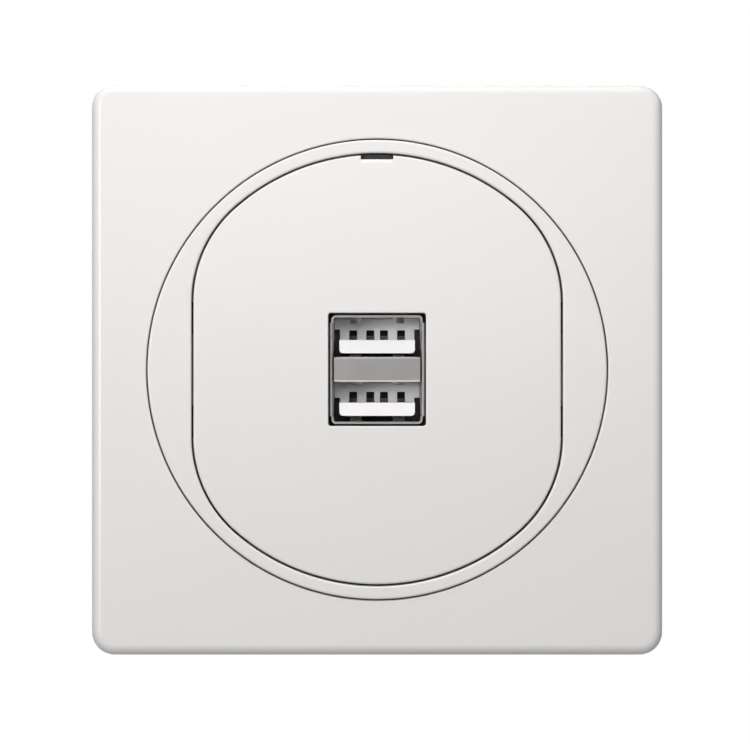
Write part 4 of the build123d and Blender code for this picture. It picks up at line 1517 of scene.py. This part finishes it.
@dataclass(frozen=True)
class Studio:
    """Camera, lights, floor and the pale world."""

    distance: float = 0.5
    aim_x: float = -0.303 * MM
    aim_z: float = -0.783 * MM
    front: float = -9.0 * MM
    view_width: float = 107.55 * MM
    sensor: float = 36.0
    clip_start: float = 0.01
    clip_end: float = 20.0
    floor_drop: float = 0.4
    floor_half: float = 0.9
    floor_thickness: float = 0.004
    floor_gloss: float = 0.95
    floor_pale: float = 0.84
    fill_level: float = 0.11
    sky_gloss: float = 0.75
    dim_level: float = 0.2
    dim_from: float = 0.74
    dim_to: float = 0.94

    def camera(self) -> None:
        """Sets the camera straight in front of the object."""
        lens = bpy.data.cameras.new("camera")
        lens.sensor_width = self.sensor
        lens.lens = self.sensor * self.distance / self.view_width
        lens.clip_start, lens.clip_end = self.clip_start, self.clip_end
        made = add_object("camera", lens)
        made.location = (self.aim_x, self.front - self.distance, self.aim_z)
        made.rotation_euler = (QUARTER, 0.0, 0.0)
        bpy.context.scene.camera = made

    def world(self) -> None:
        """Gives the world its even light.

        The camera sees it white. Gloss sees it nearly so, but for a dim part before the object.
        """
        world = bpy.data.worlds.new("studio")
        bpy.context.scene.world = world
        world.use_nodes = True
        graph = Graph(world.node_tree)
        rays = ("Is Camera Ray", "Is Glossy Ray", "Is Transmission Ray")
        seen, glossy, through = graph.outputs("ShaderNodeLightPath", *rays)
        shown = seen.math("MAXIMUM", through)
        ahead = graph.axes(graph.node("ShaderNodeTexCoord", output="Generated"))[1] * -1.0
        levels = {0: ahead, 1: self.dim_from, 2: self.dim_to, 3: self.sky_gloss, 4: self.dim_level}
        dim = graph.node("ShaderNodeMapRange", {}, levels)
        level = shown * (1.0 - self.fill_level) + glossy * (dim - self.fill_level)
        sky_light = {"Color": LIGHT, "Strength": level + self.fill_level}
        sky = graph.node("ShaderNodeBackground", {}, sky_light)
        graph.node("ShaderNodeOutputWorld", {}, {"Surface": sky})

    def floor(self) -> None:
        """Lays the plain floor below the object, which the camera and gloss see paler."""
        mesher = Mesher()
        spread, top = (-self.floor_half, self.floor_half), -self.floor_drop
        mesher.box(spread, spread, (top - self.floor_thickness, top))
        laid = mesher.piece("floor", FLOOR)
        graph = Graph(laid.data.materials[0].node_tree)
        place = graph.node("ShaderNodeTexCoord", output="Object")
        matt = graph.node("ShaderNodeBsdfPrincipled", {}, FLOOR.shade(graph, place))
        seen, glossy = graph.outputs("ShaderNodeLightPath", "Is Camera Ray", "Is Glossy Ray")
        white = graph.node("ShaderNodeEmission", {}, {"Color": LIGHT, "Strength": 1.0})
        share = seen * self.floor_pale + glossy * self.floor_gloss
        mixed = graph.node("ShaderNodeMixShader", {}, {0: share, 1: matt, 2: white})
        graph.node("ShaderNodeOutputMaterial", {}, {"Surface": mixed})

    def build(self) -> None:
        """Sets up the whole studio."""
        self.camera()
        self.world()
        self.floor()
        for lamp in LAMPS:
            lamp.hang((0.0, self.front, 0.0))
        bpy.context.scene.view_settings.view_transform = "Standard"


def numbered(stem: str) -> list[str]:
    """Returns the names of the four nodes with this stem."""
    return [f"{stem}_{i}" for i in range(1, 5)]


def build_clips() -> None:
    """Builds the blades of the three front parts and the plate's ribs."""
    blades = {
        Body.PLATE: Blades(x=30.5 * MM, z=30.0 * MM, width=6.0 * MM, back=-6.9 * MM),
        Body.RING: Blades(x=27.8 * MM, z=7.5 * MM, width=4.6 * MM, back=-7.0 * MM),
        Body.COVER: Blades(x=23.2 * MM, z=9.0 * MM, width=6.0 * MM, back=-7.5 * MM),
    }
    for body, group in blades.items():
        group.build(f"{body.value}_blades", body)
    ribs = Ribs(
        start=31.7 * MM,
        end=39.3 * MM,
        offset=12.0 * MM,
        back=-4.6 * MM,
        front=-6.9 * MM,
        thickness=1.2 * MM,
    )
    ribs.build()


def build_hardware() -> set[str]:
    """Builds the screws, contacts, pins and windings.

    Returns:
        The nodes that they stand for.
    """
    frame_screws = Screws(
        spread=19.5 * MM,
        seat=-3.4 * MM,
        head_r=2.6 * MM,
        head_h=1.5 * MM,
        shank_r=1.2 * MM,
        length=5.0 * MM,
        facing=1.0,
    )
    housing_screws = Screws(
        spread=14.0 * MM,
        seat=27.8 * MM,
        head_r=2.0 * MM,
        head_h=1.6 * MM,
        shank_r=1.0 * MM,
        length=12.0 * MM,
        facing=-1.0,
    )
    groups = {
        "frame_screw": frame_screws,
        "housing_screw": housing_screws,
        "upper_contact": Contacts(tongue_top=4.245 * MM),
        "lower_contact": Contacts(tongue_top=-4.75 * MM),
    }
    replaced = set()
    for stem, group in groups.items():
        nodes = numbered(stem)
        group.build(f"{stem}s", nodes)
        replaced.update(nodes)
    transformer = Turns("transformer_winding", bore_r=3.6 * MM)
    choke = Turns("filter_choke_winding", bore_r=2.3 * MM)
    for part in (Pins("link_pins"), transformer, choke):
        part.build()
        replaced.add(part.node)
    return replaced


def softened_parts() -> RefinedParts:
    """Chooses the nodes that get softened edges.

    Returns:
        The parts, with their finish and the width of their edges.
    """
    # the insulators get painted shade in the pockets beside the tongue and in its slots
    tongue = PaintedShadeMoulding(
        "tongue moulding",
        "tongue_plastic",
        (0.94, 0.925, 0.94),
        roughness=0.42,
        painted_shade_from=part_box("upper_insulator")[0][1] + TONGUE_LENGTH + 0.25 * MM,
    )
    soft_edge, broad_edge = 0.06 * MM, 0.12 * MM
    return RefinedParts(
        soften={
            "usb_shell": (BRIGHT, soft_edge),
            "usb_divider": (BRIGHT, soft_edge),
            "upper_insulator": (tongue, soft_edge),
            "lower_insulator": (tongue, soft_edge),
            "support_frame": (ZINC, broad_edge),
            "housing_front": (DARK, broad_edge),
            "housing_rear": (DARK, broad_edge),
        }
    )


def main() -> None:
    """Builds the studio and every piece, and reports them."""
    logging.basicConfig(level=logging.INFO, format="%(name)s %(message)s")
    Studio().build()
    front = FrontParts()
    front.plate()
    front.ring()
    front.cover()
    build_clips()
    parts = softened_parts()
    replaced = {"finishing_plate", "trim_ring", "centre_cover", *parts.soften} | build_hardware()
    finishes = {finish.slot: finish for finish in KEPT_FINISHES}
    for row in frame["record"]["subparts"]:
        node, slot = row["node"], row["material_slot"]
        if slot == "capacitor_sleeve":
            parts.kept[node] = Sleeved.over(node, towards_wall=node.startswith("output"))
        elif node not in replaced:
            parts.kept[node] = finishes[slot]
    parts.soften_all()
    parts.dress_kept()


if __name__ == "__main__":
    main()
